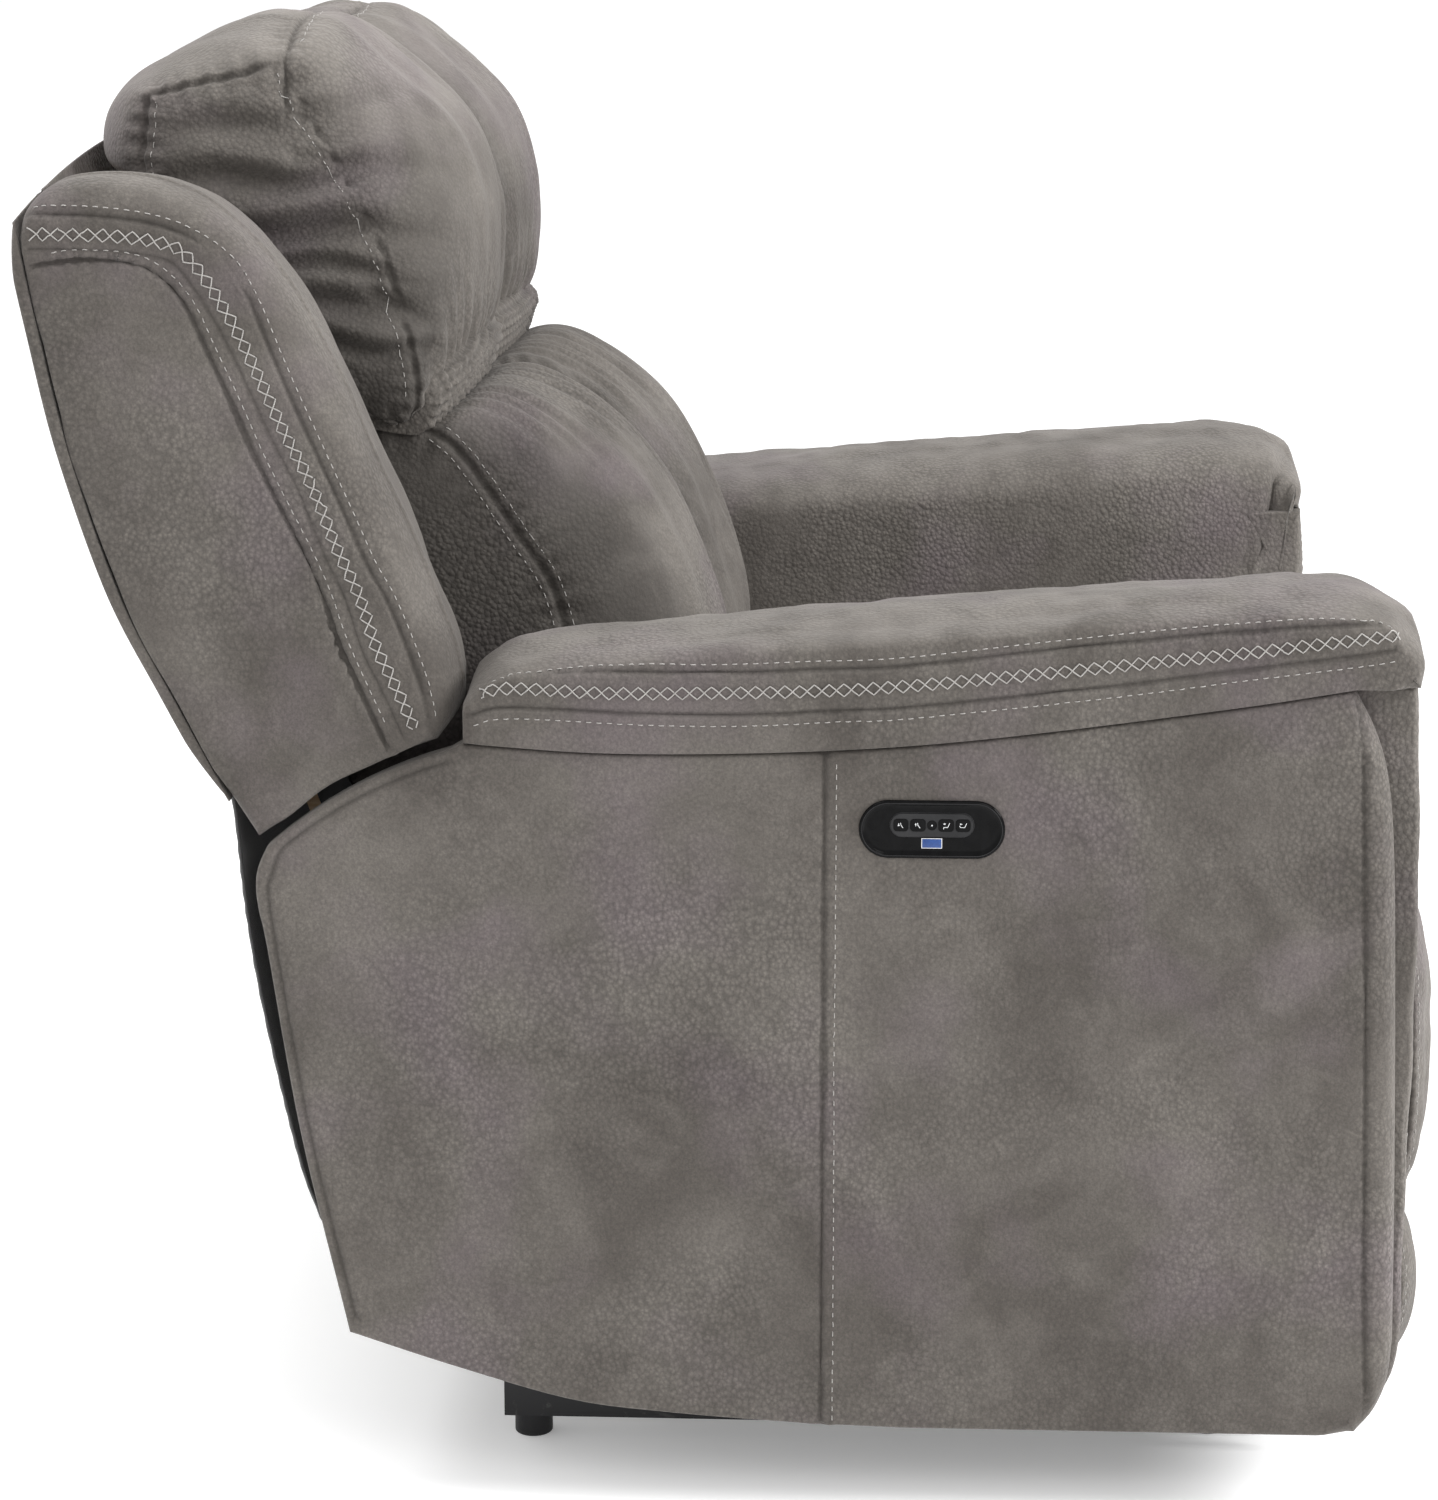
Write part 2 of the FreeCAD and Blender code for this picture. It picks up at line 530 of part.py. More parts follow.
def make_headrest():
    y, z = HEADREST_PIVOT
    cushion = profile([
        (262, 830), ("curve", [(240, 842), (225, 865), (214, 905), (213, 945), (219, 980), (236, 1021),
                               (275, 1062), (325, 1099), (368, 1107), (402, 1103), (451, 1084), (484, 1066),
                               (506, 1048), (519, 1027), (522, 1004)]),
        (514, 990), (478, 978), (460, 960), (412, 867), (300, 838),
    ], -HEADREST_HALF_WIDTH, HEADREST_HALF_WIDTH)
    save("headrest_cushion", cushion)

    plate = profile([(296, 827), (418, 856), (470, 950), (462, 955), (412, 865), (294, 836)], -280, 280)
    lugs = []
    for x0 in (-278, -68, 60, 270):
        lugs.append(profile([(y - 4, z - 10), (y + 10, z - 10), (306, 829), (300, 836), (y - 4, z + 12)],
                            x0, x0 + 8))
    frame = plate.fuse(lugs).removeSplitter()
    save("headrest_frame", drilled(frame, [(HEADREST_PIVOT, HEADREST_SHAFT_R)], -290, 290))
    save("headrest_shaft", tube_x(y, z, HEADREST_SHAFT_R, -291, 291))

    loose = HEADREST_SHAFT_R + RUNNING_CLEARANCE
    hinge = bar(HEADREST_PIVOT, (438, 826), 284, width=20).cut(
        profile([back_point(-100, depth) for depth in (44, 0)] + [back_point(500, depth) for depth in (0, 44)],
                260, 300))
    hinge = drilled(hinge, [(HEADREST_PIVOT, loose)], 284, 288)
    save("headrest_hinge_brackets", both_sides(hinge))

    gearbox = box(-18, 18, y - 16, y + 16, z - 15, z + 10)
    arm = box(-10, 10, y + 14, 455, z - 6, z + 6)
    motor = tube_x(y + 46, z - 1, 12, -80, 10)
    body = gearbox.fuse([arm, motor]).removeSplitter()
    body = body.cut(profile([back_point(-100, depth) for depth in (43, 0)] +
                            [back_point(500, depth) for depth in (0, 43)], -50, 50))
    save("headrest_motor", drilled(body, [(HEADREST_PIVOT, loose)], -18, 18))


def main():
    os.makedirs("parts", exist_ok=True)
    make_base()
    make_mechanism()
    make_actuator()
    make_footrest()
    make_seat()
    make_arms()
    make_controls()
    make_back()
    make_headrest()


main()
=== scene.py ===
"""Power recliner armchair in mottled taupe faux suede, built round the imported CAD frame, in metres."""
import json
import math

import bmesh
import bpy
import numpy as np
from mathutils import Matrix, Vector
from mathutils.bvhtree import BVHTree
from mathutils.geometry import delaunay_2d_cdt


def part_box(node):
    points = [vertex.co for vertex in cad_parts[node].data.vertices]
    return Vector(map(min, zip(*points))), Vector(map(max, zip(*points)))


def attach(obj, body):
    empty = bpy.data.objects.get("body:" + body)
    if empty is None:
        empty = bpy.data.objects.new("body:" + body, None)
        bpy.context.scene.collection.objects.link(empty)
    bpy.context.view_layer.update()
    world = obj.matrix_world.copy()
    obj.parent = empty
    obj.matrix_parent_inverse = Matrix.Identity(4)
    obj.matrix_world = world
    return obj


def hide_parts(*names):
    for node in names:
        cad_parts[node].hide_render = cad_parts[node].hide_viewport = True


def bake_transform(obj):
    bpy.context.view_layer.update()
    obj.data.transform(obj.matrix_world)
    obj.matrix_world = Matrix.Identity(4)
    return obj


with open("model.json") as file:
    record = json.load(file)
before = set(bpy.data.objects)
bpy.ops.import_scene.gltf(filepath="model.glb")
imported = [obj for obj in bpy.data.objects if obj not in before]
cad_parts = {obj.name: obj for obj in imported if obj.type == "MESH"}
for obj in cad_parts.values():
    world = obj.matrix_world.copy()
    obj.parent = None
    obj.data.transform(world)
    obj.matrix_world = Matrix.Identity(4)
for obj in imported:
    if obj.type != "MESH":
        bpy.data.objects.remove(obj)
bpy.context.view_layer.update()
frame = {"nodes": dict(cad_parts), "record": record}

MM = 0.001
TURN = 2 * math.pi


# ---------------------------------------------------------------- curves in the Y-Z plane
def mm(*points):
    return np.array(points, float) * MM


def catmull_rom(q, per):
    """Points of the curve through q[1:-1], per of them between each two; the last point is left out."""
    t = np.linspace(0, 1, per, endpoint=False)[:, None]
    return [0.5 * (2 * b + (c - a) * t + (2 * a - 5 * b + 4 * c - d) * t**2
                   + (3 * b - a - 3 * c + d) * t**3) for a, b, c, d in zip(q, q[1:], q[2:], q[3:])]


def smooth(points, per=8):
    """A smooth open curve through the points."""
    p = np.asarray(points, float)
    q = np.vstack([2 * p[0] - p[1], p, 2 * p[-1] - p[-2]])
    return np.vstack(catmull_rom(q, per) + [p[-1:]])


def section(points, per=5):
    """A smooth closed curve through points in mm; curves with as many points match one to one."""
    p = mm(*points)
    return np.vstack(catmull_rom(np.vstack([p[-1:], p, p[:2]]), per))


def closed(line):
    """The outline with its first point repeated at the end."""
    return np.vstack([line, line[:1]])


def even(points, step):
    seg = np.linalg.norm(np.diff(points, axis=0), axis=1)
    s = np.concatenate([[0], np.cumsum(seg)])
    u = np.linspace(0, s[-1], max(2, int(round(s[-1] / step)) + 1))
    return np.stack([np.interp(u, s, points[:, k]) for k in range(points.shape[1])], 1)


def loop_of(*runs, step=0.006):
    """A closed outline from runs that join end to end; each is smooth, with corners between them."""
    line = np.vstack([even(smooth(r), step)[:-1] for r in runs])
    nxt = np.roll(line, -1, 0)
    area = np.sum(line[:, 0] * nxt[:, 1] - nxt[:, 0] * line[:, 1])
    return line if area > 0 else line[::-1].copy()


def arc(centre, radius, a0, a1, n=9):
    a = np.radians(np.linspace(a0, a1, n))
    return np.stack([centre[0] + radius * np.cos(a), centre[1] + radius * np.sin(a)], 1)


def on_face(line, x):
    """A Y-Z line as 3-D points at that X."""
    return np.column_stack([np.full(len(line), x), line])


def outward(loop):
    """The unit normals of a closed outline."""
    t = np.roll(loop, -1, 0) - np.roll(loop, 1, 0)
    n = np.stack([t[:, 1], -t[:, 0]], 1)
    return n / np.linalg.norm(n, axis=1)[:, None]


def sideways(line):
    """The unit normal at each point of an open 2-D line."""
    t = np.gradient(line, axis=0)
    return np.stack([t[:, 1], -t[:, 0]], 1) / np.linalg.norm(t, axis=1)[:, None]


def shifted(line, d):
    """The line moved sideways by d in its own plane."""
    return line + sideways(line) * d


def near(points, line):
    """Distance from each point to a line, the arc length there, and the side it is on (2-D lines)."""
    best = np.full(len(points), 1e9)
    where = np.zeros(len(points))
    side = np.ones(len(points))
    done = 0.0
    for a, b in zip(line[:-1], line[1:]):
        d = b - a
        length = np.linalg.norm(d)
        if length < 1e-9:
            continue
        r = points - a
        t = np.clip(r @ d / length**2, 0, 1)
        dist = np.linalg.norm(r - t[:, None] * d, axis=1)
        m = dist < best
        best[m] = dist[m]
        where[m] = done + t[m] * length
        if points.shape[1] == 2:
            side[m] = np.sign(d[0] * r[m, 1] - d[1] * r[m, 0])
        done += length
    return best, where, side


def inside(points, loop):
    x, y = points[:, 0], points[:, 1]
    hit = np.zeros(len(points), bool)
    for (x0, y0), (x1, y1) in zip(loop, np.roll(loop, -1, 0)):
        if y0 == y1:
            continue
        hit ^= ((y0 > y) != (y1 > y)) & (x < (x1 - x0) * (y - y0) / (y1 - y0) + x0)
    return hit


def ripple(p, seed, size):
    """Smooth wandering noise, about -1 to 1, with features of that size."""
    waves = 7
    rng = np.random.default_rng(seed)
    out = np.zeros(len(p))
    for _ in range(waves):
        k = rng.normal(size=p.shape[1])
        k *= rng.uniform(0.6, 1.5) / np.linalg.norm(k) * TURN / size
        out += np.sin(p @ k + rng.uniform(0, TURN))
    return out / math.sqrt(waves)


# ---------------------------------------------------------------- materials
class Mat:
    """A procedural material whose patterns are in metres, fixed to the object."""

    def __init__(self, name):
        self.mat = bpy.data.materials.new(name)
        self.mat.use_nodes = True
        self.tree = self.mat.node_tree
        self.bsdf = self.tree.nodes["Principled BSDF"]
        self.place = self.node("ShaderNodeTexCoord").outputs["Object"]

    def node(self, kind, **settings):
        n = self.tree.nodes.new(kind)
        for k, v in settings.items():
            setattr(n, k, v)
        return n

    def feed(self, socket, value):
        if isinstance(value, bpy.types.NodeSocket):
            self.tree.links.new(value, socket)
        elif isinstance(value, tuple) and len(value) == 3 and socket.type == "RGBA":
            socket.default_value = (*value, 1)
        else:
            socket.default_value = value

    def stretched(self, scale):
        n = self.node("ShaderNodeVectorMath", operation="MULTIPLY")
        self.feed(n.inputs[0], self.place)
        n.inputs[1].default_value = scale
        return n.outputs[0]

    def noise(self, scale, detail=3.0, rough=0.55, at=None, warp=0.0):
        n = self.node("ShaderNodeTexNoise")
        self.feed(n.inputs["Vector"], at or self.place)
        for key, v in (("Scale", scale), ("Detail", detail), ("Roughness", rough), ("Distortion", warp)):
            n.inputs[key].default_value = v
        return n.outputs["Fac"]

    def cells(self, scale):
        n = self.node("ShaderNodeTexVoronoi")
        self.feed(n.inputs["Vector"], self.place)
        n.inputs["Scale"].default_value = scale
        return n.outputs["Distance"]

    def wave(self, scale, axis, at=None, warp=0.0):
        n = self.node("ShaderNodeTexWave", bands_direction=axis)
        self.feed(n.inputs["Vector"], at or self.place)
        n.inputs["Scale"].default_value = scale
        n.inputs["Distortion"].default_value = warp
        return n.outputs["Fac"]

    def remap(self, value, a0, a1, b0, b1):
        n = self.node("ShaderNodeMapRange")
        self.feed(n.inputs["Value"], value)
        for key, v in zip(("From Min", "From Max", "To Min", "To Max"), (a0, a1, b0, b1)):
            n.inputs[key].default_value = v
        return n.outputs["Result"]

    def calc(self, op, a, b):
        n = self.node("ShaderNodeMath", operation=op)
        self.feed(n.inputs[0], a)
        self.feed(n.inputs[1], b)
        return n.outputs[0]

    def mix(self, fac, a, b, blend="MIX"):
        n = self.node("ShaderNodeMix", data_type="RGBA", blend_type=blend)
        self.feed(n.inputs[0], fac)
        self.feed(n.inputs[6], a)
        self.feed(n.inputs[7], b)
        return n.outputs[2]

    def tone(self, value, a, b, dark, pale):
        """dark where value is a, turning to pale where it is b."""
        return self.mix(self.remap(value, a, b, 0, 1), dark, pale)

    def attribute(self, name):
        return self.node("ShaderNodeAttribute", attribute_name=name).outputs["Fac"]

    def bump(self, height, distance, strength):
        n = self.node("ShaderNodeBump")
        self.feed(n.inputs["Height"], height)
        n.inputs["Distance"].default_value = distance
        n.inputs["Strength"].default_value = strength
        self.feed(self.bsdf.inputs["Normal"], n.outputs["Normal"])

    def finish(self, colour, rough, **sockets):
        self.feed(self.bsdf.inputs["Base Color"], colour)
        self.feed(self.bsdf.inputs["Roughness"], rough)
        for key, v in sockets.items():
            self.feed(self.bsdf.inputs[key.replace("_", " ").title().replace("Ior", "IOR")], v)
        return self.mat


def suede():
    m = Mat("taupe_faux_suede")
    patch = m.remap(m.noise(6.5, 4.0, 0.6, warp=0.5), 0.36, 0.64, 0.0, 1.0)
    base = m.mix(patch, (0.066, 0.058, 0.051), (0.112, 0.101, 0.090))
    blush = m.remap(m.noise(6.0, 3.0, 0.5, at=m.stretched((1.0, 1.1, 1.3))), 0.50, 0.66, 0.0, 0.5)
    base = m.mix(blush, base, (0.116, 0.094, 0.102))
    rub = m.remap(m.noise(26.0, 5.0, 0.65, warp=0.8), 0.5, 0.74, 0.0, 0.30)
    base = m.mix(rub, base, (0.150, 0.136, 0.122))
    grain = m.noise(620.0, 2.0, 0.7)
    pebble = m.cells(270.0)
    tumbled = m.remap(m.noise(7.0, 2.0), 0.38, 0.62, 0.35, 1.0)
    fleck = m.remap(grain, 0.34, 0.66, 0.80, 1.18)
    base = m.mix(1.0, base, fleck, "MULTIPLY")
    pit = m.remap(pebble, 0.08, 0.70, 1.18, 0.74)
    base = m.mix(tumbled, base, m.mix(1.0, base, pit, "MULTIPLY"))
    # painted shade: a point attribute darkens seams, creases, pleat valleys and recesses towards near black
    painted_shade = m.attribute("painted_shade")
    base = m.mix(m.calc("MULTIPLY", painted_shade, 0.7), base, (0.014, 0.012, 0.010))
    # painted light: a point attribute lightens upward faces, in patches
    painted_top_light = m.attribute("painted_top_light")
    base = m.mix(m.calc("MULTIPLY", painted_top_light, 0.45), base, (0.215, 0.198, 0.180))
    height = m.calc("ADD", m.calc("MULTIPLY", grain, 0.35),
                    m.calc("MULTIPLY", pebble, m.calc("MULTIPLY", tumbled, -1.2)))
    height = m.calc("ADD", height, m.calc("MULTIPLY", m.noise(95.0, 3.0), 0.6))
    m.bump(height, 0.0010, 0.9)
    return m.finish(base, m.remap(grain, 0.3, 0.7, 0.74, 0.92), sheen_weight=0.12, sheen_roughness=0.5,
                    sheen_tint=(0.95, 0.91, 0.87), specular_ior_level=0.3)


def thread():
    m = Mat("grey_topstitch_thread")
    strand = m.wave(520.0, "DIAGONAL", warp=1.5)
    base = m.tone(strand, 0, 1, (0.235, 0.224, 0.210), (0.42, 0.405, 0.385))
    base = m.mix(m.remap(m.noise(60.0), 0.4, 0.7, 0, 0.3), base, (0.27, 0.24, 0.23))
    m.bump(strand, 0.0003, 0.6)
    return m.finish(base, 0.62, sheen_weight=0.2)


def dust_cloth():
    m = Mat("black_woven_dust_cloth")
    warp = m.calc("ADD", m.wave(260.0, "X"), m.wave(260.0, "Z"))
    base = m.tone(warp, 0.4, 1.6, (0.006, 0.006, 0.0065), (0.022, 0.021, 0.021))
    base = m.mix(m.remap(m.noise(24.0, 4.0), 0.45, 0.75, 0, 0.5), base, (0.035, 0.033, 0.031))
    m.bump(m.calc("ADD", warp, m.noise(500.0)), 0.0004, 0.6)
    return m.finish(base, m.remap(m.noise(70.0), 0.3, 0.7, 0.82, 0.96), sheen_weight=0.2)


def plywood():
    m = Mat("birch_plywood")
    rings = m.wave(60.0, "Z", at=m.stretched((1.0, 0.15, 1.0)), warp=5.0)
    base = m.mix(rings, (0.50, 0.33, 0.18), (0.63, 0.46, 0.28))
    base = m.mix(m.remap(m.noise(300.0, 4.0, at=m.stretched((1.0, 0.06, 1.0))), 0.45, 0.6, 0, 0.5), base,
                 (0.36, 0.22, 0.11))
    m.bump(rings, 0.0003, 0.4)
    return m.finish(base, m.remap(m.noise(90.0), 0.3, 0.7, 0.5, 0.72))


def painted_steel():
    m = Mat("black_painted_steel")
    peel = m.noise(380.0, 3.0)
    scuff = m.remap(m.noise(55.0, 6.0, 0.7, warp=1.0), 0.6, 0.72, 0, 0.6)
    base = m.mix(scuff, (0.012, 0.012, 0.013), (0.075, 0.073, 0.07))
    m.bump(peel, 0.00025, 0.5)
    return m.finish(base, m.remap(peel, 0.3, 0.7, 0.3, 0.48), specular_ior_level=0.3)


def zinc():
    m = Mat("zinc_plated_steel")
    spangle = m.cells(90.0)
    brushed = m.noise(420.0, 3.0, at=m.stretched((1.0, 0.08, 1.0)))
    base = m.tone(spangle, 0.0, 0.7, (0.50, 0.50, 0.49), (0.66, 0.67, 0.68))
    base = m.mix(m.remap(m.noise(40.0, 5.0), 0.55, 0.75, 0, 0.45), base, (0.36, 0.34, 0.31))
    m.bump(brushed, 0.0002, 0.4)
    return m.finish(base, m.remap(brushed, 0.3, 0.7, 0.28, 0.45), metallic=1.0)


def black_plastic():
    m = Mat("moulded_black_plastic")
    spark = m.noise(900.0, 2.0)
    base = m.tone(m.noise(30.0), 0.4, 0.7, (0.011, 0.011, 0.012), (0.02, 0.02, 0.021))
    m.bump(spark, 0.0002, 0.6)
    return m.finish(base, m.remap(spark, 0.3, 0.7, 0.42, 0.6), specular_ior_level=0.25)


def gloss_plastic():
    m = Mat("gloss_black_plastic")
    smear = m.noise(70.0, 5.0, 0.6, warp=1.2)
    base = m.tone(smear, 0.4, 0.7, (0.0020, 0.0020, 0.0022), (0.0045, 0.0045, 0.0048))
    m.bump(m.noise(150.0, 2.0), 0.00005, 0.3)
    return m.finish(base, m.remap(smear, 0.35, 0.75, 0.10, 0.2), specular_ior_level=0.09)


def plain(name, scale, detail, span, dark, pale, bump, rough, at=None, **sockets):
    """A material with one grain, which sets its colour, its bump and how rough it is."""
    m = Mat(name)
    grain = m.noise(scale, detail, at=at and m.stretched(at))
    base = m.tone(grain, *span, dark, pale)
    m.bump(grain, *bump)
    return m.finish(base, m.remap(grain, 0.3, 0.7, *rough), **sockets)


MATERIALS = {
    "faux_suede": suede(), "black_dust_cloth": dust_cloth(), "plywood": plywood(),
    "black_painted_steel": painted_steel(), "zinc_plated_steel": zinc(),
    "black_plastic": black_plastic(), "gloss_black_plastic": gloss_plastic(),
    "socket_metal": plain("stamped_socket_metal", 1200.0, 3.0, (0.3, 0.7), (0.55, 0.55, 0.55),
                          (0.72, 0.72, 0.71), (0.0001, 0.4), (0.22, 0.36), at=(1.0, 0.1, 1.0),
                          metallic=1.0),
    "blue_plastic": plain("blue_socket_plastic", 700.0, 2.0, (0.3, 0.7), (0.004, 0.030, 0.14),
                          (0.008, 0.048, 0.20), (0.0001, 0.4), (0.35, 0.5)),
}
THREAD = thread()
INK = plain("white_pad_print", 900.0, 4.0, (0.4, 0.75), (0.78, 0.79, 0.80), (0.45, 0.46, 0.47),
            (0.00005, 0.3), (0.45, 0.65))

for sub in frame["record"]["subparts"]:
    node = frame["nodes"][sub["node"]]
    node.data.materials.clear()
    node.data.materials.append(MATERIALS[sub["material_slot"]])


# ---------------------------------------------------------------- mesh building
def mesh_piece(name, verts, faces, slot="faux_suede", material=None):
    me = bpy.data.meshes.new(name)
    me.from_pydata([tuple(v) for v in verts], [], [tuple(f) for f in faces])
    me.materials.append(material or MATERIALS[slot])
    me.polygons.foreach_set("use_smooth", [True] * len(me.polygons))
    me.validate()
    me.update()
    obj = bpy.data.objects.new(name, me)
    bpy.context.scene.collection.objects.link(obj)
    return obj


def read(items, key):
    """A vector per item of a mesh collection, as rows of floats."""
    v = np.zeros(len(items) * 3, np.float32)
    items.foreach_get(key, v)
    return v.reshape(-1, 3).astype(float)


def points_of(obj):
    return read(obj.data.vertices, "co")


def shape_of(obj):
    """The points of a mesh and the normals there."""
    return points_of(obj), read(obj.data.vertex_normals, "vector")


def skin(rings, m):
    """Quads between rings of m points each, stored ring after ring."""
    return [(r * m + k, r * m + (k + 1) % m, (r + 1) * m + (k + 1) % m, (r + 1) * m + k)
            for r in range(rings - 1) for k in range(m)]


def unit(x):
    """x held between 0 and 1."""
    return np.clip(x, 0, 1)


def bell(x, width):
    """1 where x is 0, falling off on both sides."""
    return np.exp(-(x / width) ** 2)


def set_points(obj, co):
    obj.data.vertices.foreach_set("co", np.asarray(co, np.float32).ravel())
    obj.data.update()


def cap(ring, extra):
    """Triangles inside a closed 2-D ring, using the extra points inside it. Returns (new points, faces)."""
    n = len(ring)
    pts = [Vector(p) for p in np.vstack([ring, extra])]
    v, _, f, ov, _, _ = delaunay_2d_cdt(pts, [], [list(range(n))], 1, 1e-7)
    index, fresh = [], []
    for k, source in enumerate(ov):
        if source and source[0] < n:
            index.append(source[0])
        else:
            index.append(n + len(fresh))
            fresh.append(tuple(v[k]))
    return np.array(fresh).reshape(-1, 2), [[index[i] for i in t] for t in f]


def fill_points(ring, lines, grid):
    """A grid of points inside the ring, with rows of points beside each seam line."""
    lo, hi = ring.min(0), ring.max(0)
    gy, gz = np.meshgrid(np.arange(lo[0], hi[0], grid), np.arange(lo[1], hi[1], grid))
    gy = gy + (np.arange(gy.shape[0]) % 2)[:, None] * grid / 2
    pts = np.stack([gy.ravel(), gz.ravel()], 1)
    pts = pts[inside(pts, ring)]
    edge = closed(ring)
    pts = pts[near(pts, edge)[0] > grid * 0.5]
    rows = []
    for line in lines:
        line = even(line, 0.004)
        pts = pts[near(pts, line)[0] > 0.0055]
        n = sideways(line)
        for k in (-0.0042, -0.0026, -0.0012, 0.0, 0.0012, 0.0026, 0.0042):
            row = line + n * k
            row = row[inside(row, ring)]
            if len(row):
                rows.append(row[near(row, edge)[0] > 0.0012])
    return np.vstack([pts] + rows) if rows else pts


ROUND = np.radians([90, 78, 66, 54, 42, 30, 18, 6])


def slab(name, loop, x_out, x_in, round_out, round_in, walls, grid, mirror, crown=0.0, seams_out=()):
    """An upholstered slab: an outline in Y-Z, from x_in to x_out (x_out is the larger), with rounded edges.

    round_out and round_in are (inset, extent along X) and may hold one value per outline point.
    """
    n = outward(loop)
    one = np.ones(len(loop))
    io, eo = (np.asarray(r) * one for r in round_out)
    ii, ei = (np.asarray(r) * one for r in round_in)
    rings = [(x_out - eo * (1 - math.sin(a)), io * (1 - math.cos(a)), 0.0 * one) for a in ROUND]
    for t in np.linspace(0, 1, walls)[1:-1]:
        rings.append(((x_out - eo) * (1 - t) + (x_in + ei) * t, 0 * one,
                      crown * one * (4 * t * (1 - t)) ** 0.7))
    rings += [(x_in + ei * (1 - math.sin(a)), ii * (1 - math.cos(a)), 0.0 * one) for a in ROUND[::-1]]
    m = len(loop)
    verts = [np.column_stack([x, loop + n * (rise - inset)[:, None]]) for x, inset, rise in rings]
    faces = [(a, d, c, b) for a, b, c, d in skin(len(rings), m)]
    count = m * len(rings)
    for ring_id, x, seams, turn in ((0, x_out, seams_out, False), (len(rings) - 1, x_in, (), True)):
        ring = verts[ring_id][:, 1:]
        fresh, tris = cap(ring, fill_points(ring, seams, grid))
        base = ring_id * m
        ids = [base + k for k in range(m)] + [count + k for k in range(len(fresh))]
        faces += [[ids[i] for i in (t[::-1] if turn else t)] for t in tris]
        verts.append(on_face(fresh, x))
        count += len(fresh)
    verts = np.vstack(verts)
    if mirror:
        verts[:, 0] *= -1
        faces = [f[::-1] for f in faces]
    return mesh_piece(name, verts, faces)


def push(obj, height, painted_shade=None, painted_top_light=None):
    """Move each point along its normal by height; keep the painted shade and the painted light on upward
    faces as point attributes.
    """
    co, no = shape_of(obj)
    set_points(obj, co + no * np.asarray(height)[:, None])
    for key, value in (("painted_shade", painted_shade), ("painted_top_light", painted_top_light)):
        if value is not None:
            a = obj.data.attributes.get(key) or obj.data.attributes.new(key, "FLOAT", "POINT")
            old = np.zeros(len(co), np.float32)
            a.data.foreach_get("value", old)
            a.data.foreach_set("value", np.maximum(old, value).astype(np.float32))


def seam(d, s, side, depth=0.0022, width=0.0016, fold=0.0007, pucker=0.0005, pitch=0.013, reach=0.012):
    """Cross-section of a sewn seam: a sharp valley, a folded edge on one side and small puckers beside it;
    also returns painted shade for the valley.
    """
    valley = -depth * bell(d, width)
    ridge = fold * bell(d - 0.0045, 0.0026) * (1 + 0.6 * side)
    gather = pucker * np.sin(TURN * s / pitch + 2.5 * np.sin(s * 31)) * bell(d - 0.006, reach)
    return valley + ridge + gather, 0.6 * bell(d, width)


def sew(obj, lines, facing, **style):
    """Press seams into the face of obj where facing(co, no) is true; the lines are in Y-Z."""
    co, no = shape_of(obj)
    h, dark = np.zeros(len(co)), np.zeros(len(co))
    idx = np.nonzero(facing(co, no))[0]
    for line in lines:
        d, s, side = near(co[idx][:, 1:], even(line, 0.008))
        a, b = seam(d, s, side, **style)
        h[idx] += a
        dark[idx] = np.maximum(dark[idx], b)
    push(obj, h, painted_shade=dark)


# ---------------------------------------------------------------- thread
THREAD_RADIUS = 0.00047
DASH_PITCH, DASH = 0.0075, 0.0052
CROSS_PITCH, CROSS_HALF = 0.0212, 0.0046
STITCH_LIFT = (-0.0009, 0.0002, 0.00045, 0.0002, -0.0009)  # each stitch dives in at its ends


def tube(points, radius, sides=5, taper=False):
    """Verts and faces of a closed tube along 3-D points."""
    p = np.asarray(points)
    t = np.gradient(p, axis=0)
    t /= np.linalg.norm(t, axis=1)[:, None] + 1e-12
    u = np.cross(t, np.array([0.21, 0.53, 0.82]))
    u /= np.linalg.norm(u, axis=1)[:, None] + 1e-12
    w = np.cross(t, u)
    a = np.linspace(0, TURN, sides, endpoint=False)
    verts = []
    for k in range(len(p)):
        r = radius * (0.45 if taper and k in (0, len(p) - 1) else 1.0)
        verts += [p[k] + r * (math.cos(b) * u[k] + math.sin(b) * w[k]) for b in a]
    faces = skin(len(p), sides)
    faces.append(tuple(range(sides))[::-1])
    faces.append(tuple((len(p) - 1) * sides + j for j in range(sides)))
    return verts, faces


def append_tube(verts, faces, points, radius, **style):
    """Add a tube to the verts and faces gathered so far."""
    v, f = tube(points, radius, **style)
    n = len(verts)
    verts += v
    faces += [tuple(i + n for i in q) for q in f]


